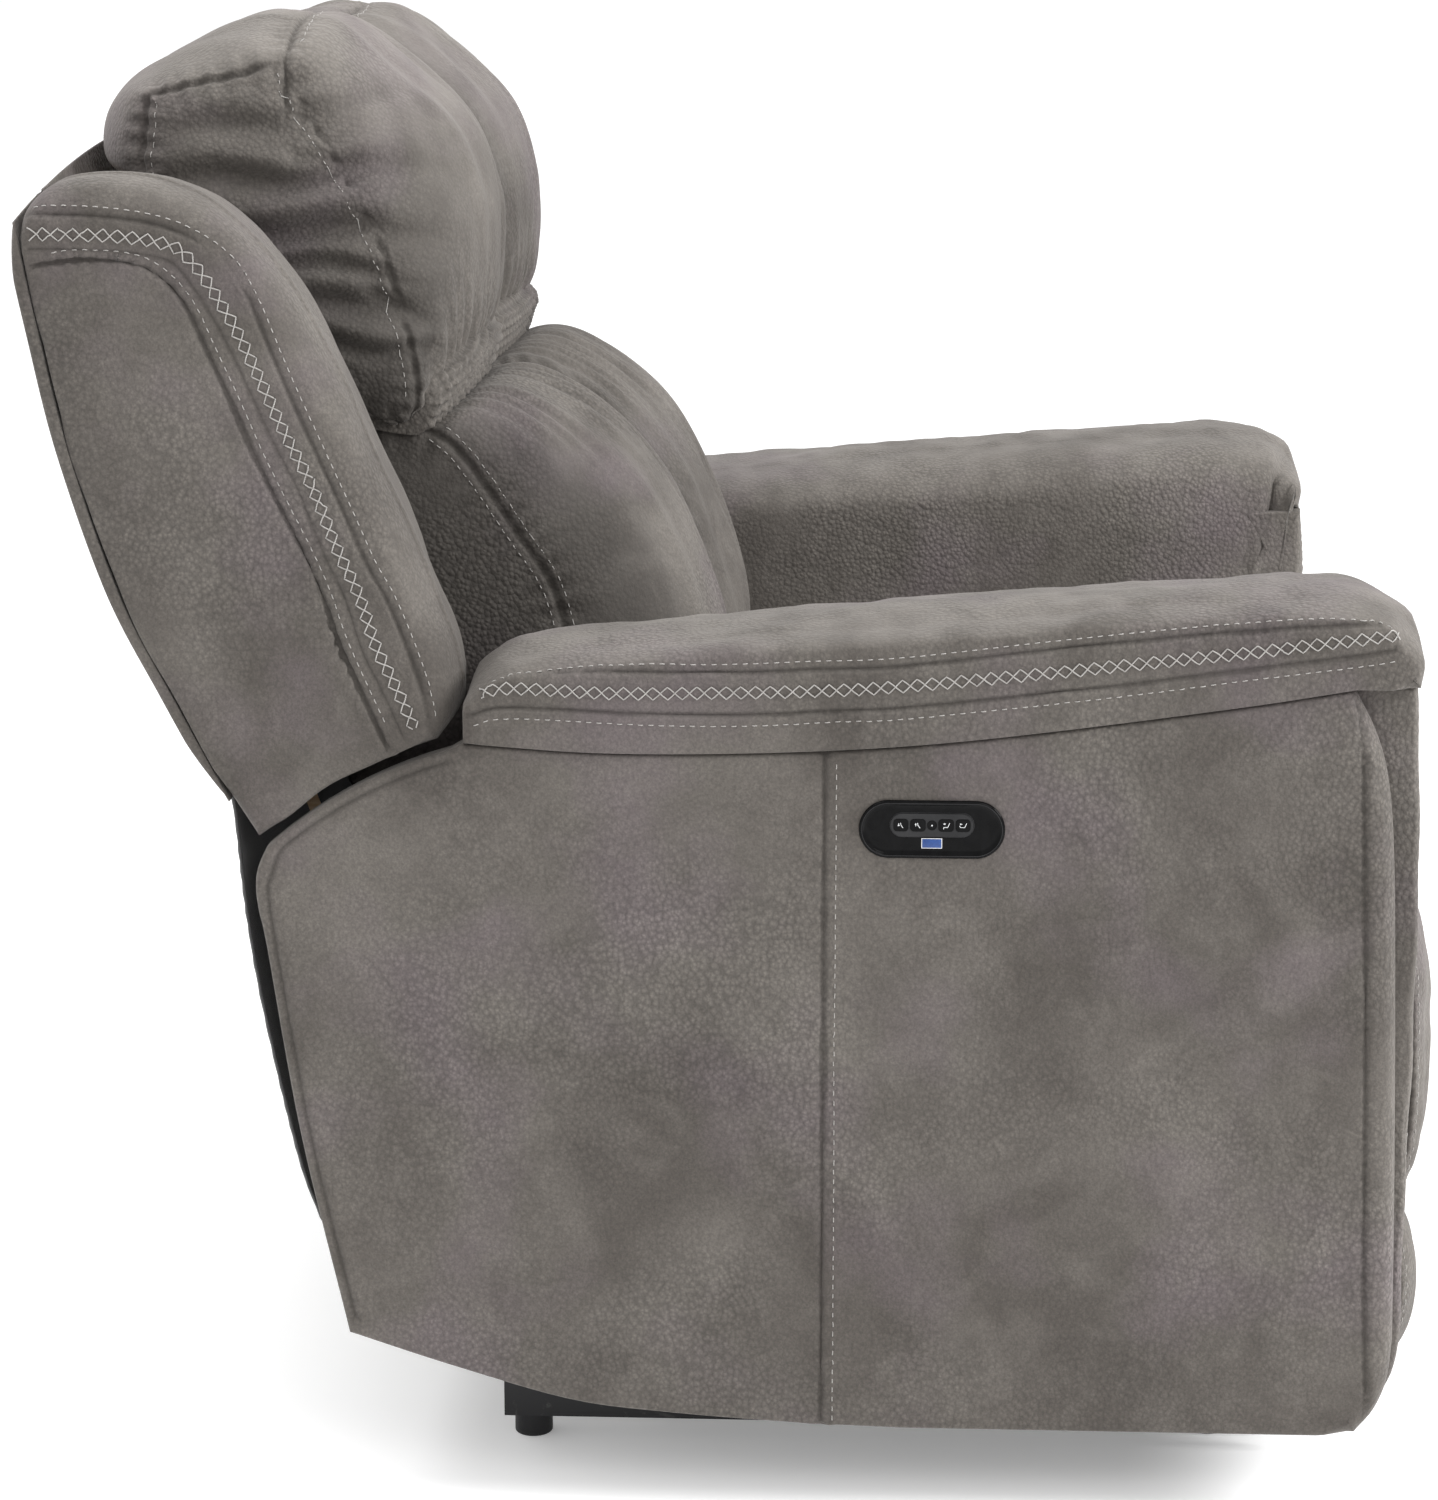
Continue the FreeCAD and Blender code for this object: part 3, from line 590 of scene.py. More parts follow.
class Thread:
    """All the topstitching on one piece, as one mesh."""

    def __init__(self, obj):
        me = obj.data
        self.tree = BVHTree.FromPolygons([v.co.copy() for v in me.vertices],
                                         [p.vertices[:] for p in me.polygons])
        self.verts, self.faces = [], []

    def laid(self, p, lift):
        """The point of the piece nearest to p, lifted off its surface."""
        co, no, _, _ = self.tree.find_nearest(Vector(p))
        return np.array(co) + np.array(no) * lift

    def add(self, points, taper=True):
        append_tube(self.verts, self.faces, points, THREAD_RADIUS * (0.85 if taper else 1.1), taper=taper)

    def dashes(self, line):
        """A row of separate stitches along a 3-D line near the surface."""
        line = even(line, 0.0013)
        s = np.arange(len(line)) * 0.0013
        k = 0
        while k * DASH_PITCH + DASH < s[-1]:
            u = np.linspace(k * DASH_PITCH, k * DASH_PITCH + DASH, len(STITCH_LIFT))
            q = np.stack([np.interp(u, s, line[:, c]) for c in range(3)], 1)
            self.add([self.laid(p, h) for p, h in zip(q, STITCH_LIFT)])
            k += 1

    def cross(self, line):
        """Two zigzags of thread that cross each other, twice in each pitch, along a 3-D line."""
        hits = [self.tree.find_nearest(Vector(p)) for p in even(line, CROSS_PITCH / 16)]
        co, no = (np.array([tuple(hit[k]) for hit in hits]) for k in (0, 1))
        t = np.gradient(co, axis=0)
        t /= np.linalg.norm(t, axis=1)[:, None]
        across = np.cross(no, t)
        phase = np.arange(len(co)) / 16.0
        wave = 1 - 4 * np.abs((phase % 1) - 0.5)
        wave = np.sign(wave) * np.abs(wave) ** 0.9
        for sign, lift in ((1, 0.0005), (-1, 0.0009)):
            self.add([self.laid(p, lift) for p in co + across * (sign * CROSS_HALF * wave)[:, None]],
                     taper=False)

    def done(self, name, body):
        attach(mesh_piece(name, self.verts, self.faces, material=THREAD), body)


# ---------------------------------------------------------------- arms
HINGE = (0.120, 0.245)  # the recline hinge in Y and Z
WING_FOOT, SIDE_TOP, HEM_TOP = 0.364, 0.3550, 0.3475  # radii about the hinge
PANEL, INNER, FRONT, PAD, WING = (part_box(f"{part}_left") for part in (
    "side_panel", "arm_inner_panel", "arm_front_panel", "arm_pad", "wing"))

PAD_LOW = mm((208, 592), (110, 586), (0, 587), (-109, 593), (-217, 605), (-358, 625), (-435, 638))
SIDE_LOOP = loop_of(
    mm((301, 135), (334, 290), (356, 436), (361, 462), (363, 481), (361, 496), (354, 512)),
    arc(HINGE, SIDE_TOP, 48.8, 74), mm((217.9, 586.3), (208, 592)), PAD_LOW,
    mm((-435, 638), (-453, 603), (-463, 567), (-469, 510), (-474, 400), (-479, 257), (-482, 139)),
    mm((-482, 139), (-479, 108), (-470, 84), (-456, 66)), mm((-456, 66), (-115, 66)),
    mm((-115, 66), (-30, 69), (60, 75), (134, 84), (225, 110), (301, 135)))
ROLL_SEAM = smooth(mm((-463, 78), (-457, 200), (-453, 330), (-448, 460), (-442, 589), (-438, 626)))
SIDE_SEAM = mm((-55, 68), (-55, 330), (-55, 588))
HEM = np.vstack([smooth(mm((296, 150), (326, 290), (348, 436), (354, 482))), arc(HINGE, HEM_TOP, 50, 73)])


def outer_face(x, slack=0.004):
    return lambda co, no: (np.abs(co[:, 0]) > x - slack) & (np.abs(no[:, 0]) > 0.5)


def make_side_panel(side):
    mirror = side == "right"
    front = unit((-0.43 - SIDE_LOOP[:, 0]) / 0.02)
    x_out, x_in = PANEL[1].x, PANEL[0].x
    obj = slab(f"side_panel_cover_{side}", SIDE_LOOP, x_out, x_in,
               (0.004 + 0.011 * front, 0.006 + 0.012 * front), (0.002, 0.002),
               walls=4, seams_out=[SIDE_SEAM, ROLL_SEAM, HEM], grid=0.009, mirror=mirror)
    sew(obj, [SIDE_SEAM, ROLL_SEAM], outer_face(x_out), pucker=0.0006)
    sew(obj, [HEM], outer_face(x_out), depth=0.0012, pucker=0.0002, fold=0.0009)
    co = points_of(obj)
    face = (np.abs(co[:, 0]) > x_out - 0.006).astype(float)
    edge = near(co[:, 1:], closed(SIDE_LOOP))[0]
    sag = 0.0016 * ripple(co[:, 1:], 4, 0.16) + 0.0007 * ripple(co[:, 1:], 9, 0.05)
    y, z = centre_of(*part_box("control_bezel"))
    away = np.hypot(co[:, 1] - y, co[:, 2] - z)
    push(obj, face * unit(edge / 0.05) * unit((away - 0.062) / 0.04) * sag)
    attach(obj, "base")
    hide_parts(f"side_panel_{side}", f"arm_frame_{side}")
    t = Thread(obj)
    t.dashes(on_face(mm((-63.5, 72), (-63.5, 586)), -x_out if mirror else x_out))
    t.done(f"side_panel_stitching_{side}", "base")


FRONT_SEAMS = (0.334, 0.470)
FRONT_STITCHES = (0.3405, 0.4635)
FLAP = 0.110  # how far the pad's cover hangs down the inner side of the arm


def make_inner_and_front(side):
    mirror = side == "right"
    low = PAD_LOW - (0, FLAP)
    inner_loop = loop_of(mm((235, 90), (235, 480)), np.vstack([mm((235, 480)), low[:1]]), low,
                         np.vstack([low[-1:], (-0.469, low[-1, 1])]),
                         mm((-469, 638 - FLAP * 1000), (-469, 90)), mm((-469, 90), (235, 90)), step=0.009)
    obj = slab(f"arm_inner_cover_{side}", inner_loop, INNER[1].x, INNER[0].x, (0.002, 0.002),
               (0.004, 0.005), walls=4, grid=0.012, mirror=mirror)
    co = points_of(obj)
    push(obj, 0.0015 * ripple(co[:, 1:], 12, 0.14) * (np.abs(co[:, 0]) < INNER[0].x + 0.004))
    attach(obj, "base")
    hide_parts(f"arm_inner_panel_{side}")

    front_loop = loop_of(mm((-468, 90), (-466, 490)),
                         mm((-466, 490), (-460, 562), (-450, 600), (-430, 636)),
                         mm((-430, 636), (-482, 638)), mm((-482, 638), (-486, 580), (-489, 480),
                                                          (-489, 300), (-489, 139)),
                         mm((-489, 139), (-485, 112), (-476, 90)), mm((-476, 90), (-468, 90)), step=0.005)
    face = (front_loop[:, 0] < -0.472).astype(float)
    obj = slab(f"arm_front_cover_{side}", front_loop, FRONT[1].x + 0.002, FRONT[0].x,
               (0.002 + 0.004 * face, 0.002 + 0.006 * face), (0.002 + 0.006 * face, 0.002 + 0.014 * face),
               walls=64, grid=0.006, mirror=mirror)
    co, no = shape_of(obj)
    front = (no[:, 1] < -0.5).astype(float)
    x = np.abs(co[:, 0])
    h = np.zeros(len(co))
    dark = np.zeros(len(co))
    for at in FRONT_SEAMS:
        a, b = seam(np.abs(x - at), co[:, 2], np.sign(x - at))
        h += a
        dark = np.maximum(dark, b)
    swell = 0.005 * unit(1 - ((x - 0.402) / 0.07) ** 2) + 0.0012 * ripple(co[:, ::2], 21, 0.12)
    push(obj, front * (h + swell), painted_shade=front * dark)
    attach(obj, "base")
    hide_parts(f"arm_front_panel_{side}")
    t = Thread(obj)
    sign = -1 if mirror else 1
    for at in FRONT_STITCHES:
        line = smooth(np.array([(sign * at, -0.487, 0.09), (sign * at, -0.492, 0.30),
                                (sign * at, -0.492, 0.48), (sign * at, -0.487, 0.625)]))
        t.dashes(line)
    t.done(f"arm_front_stitching_{side}", "base")


PAD_STITCH = smooth(mm((192, 647), (151, 653), (26, 653), (-45, 656), (-109, 659), (-216, 672), (-286, 680),
                       (-356, 687), (-426, 692), (-452, 693), (-468, 690)))
PAD_CROSS = smooth(mm((196, 631), (170, 634), (99, 631), (26, 632), (-45, 634), (-109, 638), (-216, 649),
                      (-286, 657), (-357, 665), (-426, 674), (-466, 679)))
PAD_LOW_STITCH = smooth(mm((200, 606), (183, 611), (147, 611), (75, 608), (3, 608), (-69, 612), (-109, 614),
                           (-216, 626), (-287, 635), (-357, 645), (-410, 652), (-445, 657), (-462, 660)))

PAD_SEAM, PAD_LOW_SEAM = PAD_STITCH + (0, -0.0062), PAD_LOW_STITCH + (0, 0.0080)


def make_arm_pad(side):
    mirror = side == "right"
    loop = loop_of(PAD_LOW, mm((-435, 638), (-482, 638)),
                   mm((-482, 638), (-484, 658), (-474, 680), (-446, 695), (-402, 698)),
                   mm((-402, 698), (-292, 691), (-182, 682), (-71, 673), (25, 664), (144, 653), (180, 646),
                      (200, 634), (208, 620)), mm((208, 620), (208, 592)), step=0.005)
    n = outward(loop)
    top = unit((n[:, 1] - 0.1) / 0.5)
    front = unit((-0.462 - loop[:, 0]) / 0.012)
    rear = unit((loop[:, 0] - 0.195) / 0.01)
    x_out, x_in = PAD[1].x, PAD[0].x
    obj = slab(f"arm_pad_cover_{side}", loop, x_out, x_in,
               (0.002 + 0.007 * top + 0.008 * front, 0.003 + 0.036 * top + 0.012 * front + 0.004 * rear),
               (0.003 + 0.032 * top + 0.020 * front, 0.004 + 0.084 * top + 0.024 * front + 0.004 * rear),
               crown=0.004 * top + 0.003 * front, walls=34, grid=0.008, mirror=mirror,
               seams_out=[PAD_SEAM, PAD_LOW_SEAM])
    sew(obj, [PAD_SEAM, PAD_LOW_SEAM], outer_face(x_out, 0.006), depth=0.0021)
    co = points_of(obj)
    under = np.interp(co[:, 1], PAD_LOW[::-1, 0], PAD_LOW[::-1, 1])
    hang = unit(1 - (co[:, 2] - under) / 0.035) * unit((x_in + 0.014 - np.abs(co[:, 0])) / 0.006)
    hang *= unit((co[:, 1] + 0.474) / 0.010)
    co[:, 2] -= hang * (FLAP - 0.001)
    set_points(obj, co)
    co, no = shape_of(obj)
    up = unit(no[:, 2])
    h = up * (0.0012 * ripple(co, 31, 0.11) + 0.0005 * ripple(co, 33, 0.03))
    # painted light on the upward faces of the pad, in patches
    push(obj, h, painted_top_light=0.35 * up * unit(0.5 + ripple(co, 35, 0.06)))
    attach(obj, "base")
    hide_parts(f"arm_pad_{side}")
    x = -x_out if mirror else x_out
    t = Thread(obj)
    t.dashes(on_face(PAD_STITCH, x))
    t.dashes(on_face(PAD_LOW_STITCH, x))
    t.cross(on_face(PAD_CROSS, x))
    t.done(f"arm_pad_stitching_{side}", "base")


# ---------------------------------------------------------------- wings
WING_TOP = mm((214, 632), (219, 660), (233, 694), (249, 738), (269, 782), (287, 825), (302, 859),
              (318, 893), (333, 919), (351, 944), (369, 963), (392, 980), (412, 989), (438, 996),
              (474, 997), (501, 991), (517, 974), (520, 955))
WING_LOOP = loop_of(arc(HINGE, WING_FOOT, 48.6, 72.6),
                    np.vstack([arc(HINGE, WING_FOOT, 72.6, 73.0, 2)[:1], mm((218, 610), (214, 632))]),
                    WING_TOP, mm((520, 955), (507, 885), (488, 798), (456, 698), (419, 622), (379, 546)),
                    np.vstack([mm((379, 546)), arc(HINGE, WING_FOOT, 48.6, 49, 2)[:1]]), step=0.005)
WING_INNER_SEAM = smooth(mm((508, 936), (477, 940), (449, 939), (429, 934), (413, 922), (400, 904),
                            (388, 877), (372, 841), (357, 804), (342, 772), (324, 735), (309, 700),
                            (298, 667), (282, 628), (266, 592)))
WING_CROSS = smooth(mm((512, 958), (487, 958), (442, 956), (410, 950), (397, 940), (384, 922), (366, 891),
                       (349, 854), (332, 815), (314, 779), (297, 733), (282, 700), (271, 664), (261, 642),
                       (251, 620), (243, 602)))
WING_OUTER_SEAM = smooth(mm((512, 973), (498, 972), (464, 971), (430, 967), (405, 960), (385, 950),
                            (369, 936), (358, 918), (343, 880), (328, 843), (311, 804), (293, 763),
                            (276, 723), (262, 697), (248, 662), (237, 628), (232, 602)))
WING_OUTER_STITCH = shifted(WING_OUTER_SEAM, 0.0065)
WING_FELL = shifted(WING_CROSS, -0.0105)
REAR_HEM = smooth(mm((511, 940), (498, 885), (479, 798), (447, 698), (410, 622), (378, 562)))


def make_wing(side):
    mirror = side == "right"
    y, z = WING_LOOP[:, 0], WING_LOOP[:, 1]
    rear = unit((y - np.interp(z, [0.546, 0.622, 0.698, 0.798, 0.885, 0.955],
                                  [0.379, 0.419, 0.456, 0.488, 0.507, 0.520]) + 0.010) / 0.008)
    rear = np.where(z > 0.975, 0, rear)
    low = unit((0.372 - np.hypot(y - HINGE[0], z - HINGE[1])) / 0.006)
    free = 1 - np.maximum(rear, low)
    free = np.convolve(np.concatenate([free[-6:], free, free[:6]]), np.ones(13) / 13, "valid")
    obj = slab(f"wing_cover_{side}", WING_LOOP, WING[1].x, WING[0].x,
               (0.003 + 0.019 * free, 0.004 + 0.038 * free), (0.003 + 0.050 * free, 0.004 + 0.140 * free),
               crown=0.002 * free, walls=22, grid=0.008, mirror=mirror,
               seams_out=[WING_INNER_SEAM, WING_OUTER_SEAM, WING_FELL])
    face = outer_face(WING[1].x, 0.008)
    sew(obj, [WING_INNER_SEAM], face, depth=0.0032, width=0.0018, fold=0.0010)
    sew(obj, [WING_OUTER_SEAM], face, depth=0.0019)
    sew(obj, [WING_FELL], face, depth=0.0009, width=0.0014, fold=0.0003)
    co, no = shape_of(obj)
    on_side = (np.abs(no[:, 0]) > 0.7).astype(float)
    panel = inside(co[:, 1:], np.vstack([WING_INNER_SEAM, REAR_HEM[::-1]]))
    d = near(co[:, 1:], WING_INNER_SEAM)[0]
    swell = 0.0022 * unit(d / 0.05) * panel
    band_d = near(co[:, 1:], WING_CROSS)[0]
    swell = swell + 0.0010 * bell(band_d, 0.010)
    h = on_side * (swell * (np.abs(co[:, 0]) > 0.45) + 0.0009 * ripple(co[:, 1:], 41, 0.13))
    border = (1 - on_side) * 0.0011 * ripple(co, 43, 0.09)
    # painted shade on the inner face of the wing, in the recess beside the cushions
    hollow = unit((WING[0].x + 0.040 - np.abs(co[:, 0])) / 0.035)
    push(obj, h + border, painted_shade=0.65 * hollow)
    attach(obj, "backrest")
    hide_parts(f"wing_{side}")
    x = (-1 if mirror else 1) * WING[1].x
    t = Thread(obj)
    t.dashes(on_face(WING_OUTER_STITCH, x))
    t.dashes(on_face(shifted(WING_INNER_SEAM, 0.0068)[3:-2], x))
    t.cross(on_face(WING_CROSS, x))
    t.done(f"wing_stitching_{side}", "backrest")


# ---------------------------------------------------------------- cushions lofted between key sections
DIP = 0.975  # how much of a quarter circle the sides of the centre channel follow


def loft(name, crest, side, channel, half, peak, dome, per=5, around=15, grid=0.010):
    """A cushion of two columns: crest section at X = +-peak, channel at X = 0, side section at +-half."""
    crest, side = section(crest, per), section(side, per)
    channel = crest if channel is None else section(channel, per)
    rings = []
    inner = [peak * (1 - math.sin(a) / DIP) for a in np.linspace(math.asin(DIP), 0, around + 1)]
    outer = [peak + (half - peak) * math.sin(a) for a in np.linspace(0, math.pi / 2, around + 3)[1:]]
    for x in inner:
        u = (peak - x) / peak * DIP
        g = (1 - math.sqrt(1 - u * u)) / (1 - math.sqrt(1 - DIP**2))
        rings.append(crest + (channel - crest) * g)
    for x in outer:
        u = (x - peak) / (half - peak)
        rings.append(crest + (side - crest) * (1 - max(0.0, 1 - u**2) ** (1 / 2)))
    xs = inner + outer
    xs = [-x for x in xs[:0:-1]] + xs
    rings = rings[:0:-1] + rings
    m = len(crest)
    verts = np.vstack([on_face(r, x) for x, r in zip(xs, rings)])
    area = np.sum(crest[:, 0] * np.roll(crest[:, 1], -1) - np.roll(crest[:, 0], -1) * crest[:, 1])
    faces = [f if area > 0 else f[::-1] for f in skin(len(xs), m)]
    count = len(verts)
    extra = []
    for ring_id, sign in ((0, -1), (len(xs) - 1, 1)):
        ring = rings[ring_id]
        fresh, tris = cap(ring, fill_points(ring, [], grid))
        ids = [ring_id * m + k for k in range(m)] + [count + k for k in range(len(fresh))]
        for t in tris:
            a, b, c = (np.array(ring[i] if i < m else fresh[i - m]) for i in t)
            ccw = (b[0] - a[0]) * (c[1] - a[1]) - (b[1] - a[1]) * (c[0] - a[0]) > 0
            faces.append([ids[i] for i in (t if ccw == (sign > 0) else t[::-1])])
        d = near(fresh, closed(ring))[0]
        rise = dome * (1 - np.exp(-d / 0.02))
        extra.append(np.column_stack([sign * (half + rise), fresh]))
        count += len(fresh)
    return mesh_piece(name, np.vstack([verts] + extra), faces)


CLOTH_FRAMES = 16


def inflate(obj, pinned, cap_mm):
    """Swell a cushion with Blender's cloth, holding the pinned points, then keep the result in the mesh."""
    before = points_of(obj)
    group = obj.vertex_groups.new(name="held")
    for k in np.nonzero(pinned > 0)[0]:
        group.add([int(k)], float(pinned[k]), "REPLACE")
    cloth = obj.modifiers.new("cloth", "CLOTH")
    s = cloth.settings
    s.quality = 4
    s.mass = 0.35
    s.tension_stiffness = s.compression_stiffness = 22
    s.shear_stiffness = 8
    s.bending_stiffness = 1.2
    s.use_pressure = True
    s.uniform_pressure_force = 4.0
    s.effector_weights.gravity = 0
    s.vertex_group_mass = "held"
    cloth.collision_settings.use_self_collision = False
    cloth.point_cache.frame_start, cloth.point_cache.frame_end = 1, CLOTH_FRAMES
    scene = bpy.context.scene
    for k in range(1, CLOTH_FRAMES + 1):
        scene.frame_set(k)
    depsgraph = bpy.context.evaluated_depsgraph_get()
    result = obj.evaluated_get(depsgraph).data
    move = read(result.vertices, "co") - before
    size = np.linalg.norm(move, axis=1)[:, None]
    limit = cap_mm * MM
    obj.modifiers.remove(cloth)
    obj.vertex_groups.clear()
    scene.frame_set(1)
    set_points(obj, before + move / np.maximum(size, 1e-9) * limit * np.tanh(size / limit))


def held_edges(ax, half, valley, *more):
    """How firmly each point is held: the centre valley, the side edges, and more masks."""
    return np.maximum.reduce([bell(ax, valley), bell(ax - half, 0.006), *more])


def refine(obj, levels=1):
    """Split every face in four, levels times, and keep the smooth result."""
    sub = obj.modifiers.new("refine", "SUBSURF")
    sub.levels = sub.render_levels = levels
    fine = bpy.data.meshes.new_from_object(obj.evaluated_get(bpy.context.evaluated_depsgraph_get()))
    obj.modifiers.clear()
    old, obj.data = obj.data, fine
    bpy.data.meshes.remove(old)
    fine.polygons.foreach_set("use_smooth", [True] * len(fine.polygons))


HEAD, LUMBAR, SEAT = (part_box(f"{part}_cushion") for part in ("headrest", "lumbar", "seat"))

HEAD_REAR = [(514, 990), (478, 978), (460, 960), (412, 867), (300, 838)]
HEAD_CREST = [(262, 828), (240, 840), (226, 860), (218, 888), (214, 935), (216, 968), (235, 1020),
              (278, 1064), (328, 1100), (370, 1107), (402, 1103), (451, 1083), (483, 1066), (504, 1048),
              (518, 1029), (522, 1003)] + HEAD_REAR
HEAD_SIDE = [(272, 797), (264, 818), (267, 850), (274, 880), (286, 922), (300, 955), (322, 996),
             (345, 1036), (362, 1069), (380, 1066), (395, 1061), (426, 1055), (450, 1049), (464, 1045),
             (467, 1022), (470, 1000), (468, 985), (461, 972), (450, 950), (408, 870), (310, 806)]
HEAD_CHANNEL = [(278, 826), (268, 842), (262, 866), (258, 892), (256, 930), (260, 962), (275, 1002),
                (306, 1036), (342, 1064), (375, 1076), (402, 1075), (440, 1061), (470, 1047), (490, 1034),
                (503, 1018), (510, 1000), (506, 988)] + HEAD_REAR[1:]
LUMBAR_REAR = [(425, 800), (343, 556), (313, 470), (303, 438), (252, 472)]
LUMBAR_CREST = [(39, 496), (29, 530), (27, 570), (33, 612), (46, 655), (62, 698), (80, 732), (104, 764),
                (134, 791), (160, 808), (189, 820), (214, 821), (239, 811), (262, 796),
                (300, 798)] + LUMBAR_REAR + [(179, 501), (109, 508)]
LUMBAR_SIDE = [(150, 507), (146, 525), (144, 560), (147, 605), (156, 650), (167, 678), (187, 707),
               (202, 730), (217, 752), (228, 767), (238, 778), (247, 785), (256, 790), (268, 792),
               (302, 798)] + LUMBAR_REAR + [(200, 495), (172, 503)]
LUMBAR_CHANNEL = [(80, 504), (72, 530), (70, 570), (77, 608), (91, 645), (107, 683), (124, 711), (146, 738),
                  (170, 760), (193, 776), (215, 790), (232, 797), (249, 799), (266, 798),
                  (300, 798)] + LUMBAR_REAR + [(179, 501), (118, 507)]


def column_folds(co, seed, peak, amount=0.0011):
    """Long shallow folds that run up each column, and fan out from the pinched ends."""
    x = np.abs(co[:, 0])
    wander = 0.5 * ripple(co[:, 1:], seed, 0.22)
    fold = np.sin(TURN * (x / 0.052) + 2.4 * wander) + 0.6 * np.sin(TURN * x / 0.031 + 3 * wander + 1)
    mask = unit(1 - ((x - peak) / 0.13) ** 2)
    return amount * fold * mask


def ring_seam(obj, loop_yz, x, **style):
    """The welt seam where a side boxing meets the cushion's front, at |X| = x."""
    co = points_of(obj)
    d, s, _ = near(np.column_stack([np.abs(co[:, 0]), co[:, 1:]]), on_face(closed(loop_yz), x))
    h, dark = seam(d, s, 0 * d, **style)
    push(obj, h, painted_shade=dark)


def make_headrest():
    obj = loft("headrest_cover", HEAD_CREST, HEAD_SIDE, HEAD_CHANNEL, HEAD[1].x, 0.155, dome=0.009)
    co = points_of(obj)
    ax = np.abs(co[:, 0])
    rest = (co[:, 1] > 0.40) & (co[:, 2] < 0.995)
    inflate(obj, held_edges(ax, HEAD[1].x, 0.012, rest.astype(float), unit((0.862 - co[:, 2]) / 0.02)), 9)
    refine(obj, 2)
    co, no = shape_of(obj)
    ax = np.abs(co[:, 0])
    front = unit(-no[:, 1] + 0.6 * no[:, 2] + 0.2)
    h = column_folds(co, 51, 0.155) * front
    # the seam across the crown, between the front columns and the top panel
    crown = 0.3625 + 0.004 * np.cos(math.pi * ax / 0.31)
    top = unit((co[:, 2] - 1.02) / 0.02)
    d = np.abs(co[:, 1] - crown)
    a, dark = seam(d, ax, np.sign(co[:, 1] - crown), depth=0.0034, width=0.0028, pucker=0.0008)
    h += top * (a - 0.004 * bell(d, 0.016))
    shade = top * dark
    a, dark = seam(ax, co[:, 1] + co[:, 2], 0 * ax, depth=0.007, width=0.006, fold=0.0, pucker=0.0022,
                   pitch=0.017, reach=0.030)
    h += a
    # painted shade along the centre channel
    shade = np.maximum.reduce([shade, dark, 0.9 * bell(ax, 0.048)])
    # pulls across the side boxing and over its front seam, with painted shade in their valleys
    side = unit((np.abs(no[:, 0]) - 0.25) / 0.4)
    # painted shade on the side boxing, darker lower down in the recess beside the wing
    shade = np.maximum(shade, 0.8 * side * unit((1.06 - co[:, 2]) / 0.20))
    for y0, z0, slope, deep, wide, reach in (
            (0.365, 0.985, -0.06, 0.0085, 0.008, 0.075), (0.350, 0.945, 0.03, 0.0095, 0.009, 0.080),
            (0.330, 0.915, 0.10, 0.0060, 0.006, 0.060), (0.318, 0.888, -0.05, 0.0080, 0.008, 0.060),
            (0.305, 0.858, 0.12, 0.0060, 0.007, 0.050), (0.395, 1.022, -0.10, 0.0045, 0.008, 0.050)):
        line = z0 + slope * (co[:, 1] - y0) + 0.005 * np.sin((co[:, 1] - y0) * 45 + z0 * 50)
        fade = bell(co[:, 1] - y0, reach) * side
        dip = bell(co[:, 2] - line, wide)
        h += fade * deep * (0.75 * bell(co[:, 2] - line - 2.1 * wide, 1.2 * wide) - dip)
        shade = np.maximum(shade, 0.42 * fade * dip)
    # pressed creases at the sides of the crown, with painted shade along them
    for y0, z0, dy, dz in ((0.345, 1.030, -0.075, 0.022), (0.352, 1.000, -0.105, -0.012),
                           (0.296, 0.900, -0.050, -0.030)):
        t = unit(((co[:, 1] - y0) * dy + (co[:, 2] - z0) * dz) / (dy * dy + dz * dz))
        off = np.hypot(co[:, 1] - y0 - t * dy, co[:, 2] - z0 - t * dz)
        fade = unit((ax - 0.20) / 0.06) * (1 - 0.6 * t)
        h -= 0.0055 * fade * bell(off, 0.0075)
        shade = np.maximum(shade, 0.35 * fade * bell(off, 0.006))
    h += 0.0012 * ripple(co, 55, 0.075)
    # gathered pleats above the neck, with painted shade in their valleys
    gather = bell(co[:, 2] - 0.845, 0.045) * unit(-no[:, 1] + 0.3)
    fan = co[:, 0] + 0.25 * (co[:, 2] - 0.84) * np.sin(co[:, 0] * 19)
    pleat = np.sin(TURN * fan / 0.0185 + 2.2 * ripple(co[:, :1], 57, 0.11))
    h += gather * 0.0021 * pleat
    shade = np.maximum(shade, 0.35 * gather * unit(-pleat))
    # painted light on the upward faces, in patches
    push(obj, h, painted_shade=shade, painted_top_light=0.8 * unit(no[:, 2]) * unit(0.85 + 0.3 * ripple(co, 59, 0.05)))
    ring_seam(obj, section(HEAD_SIDE), HEAD[1].x, depth=0.003, width=0.0028, pucker=0.0012, pitch=0.018)
    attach(obj, "headrest")
    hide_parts("headrest_cushion")
    t = Thread(obj)
    side_line = section(HEAD_SIDE)
    front_run = side_line[5:40]
    rear_run = side_line[66:82]
    for s in (-1, 1):
        x = s * (HEAD[1].x + 0.003)
        t.dashes(on_face(front_run + (0.008, 0), x))
        t.dashes(on_face(rear_run + (-0.008, 0), x))
    xs = np.linspace(-0.296, 0.296, 60)
    t.dashes(np.column_stack([xs, 0.3535 + 0.004 * np.cos(math.pi * np.abs(xs) / 0.31), np.full(60, 1.10)]))
    t.done("headrest_stitching", "headrest")


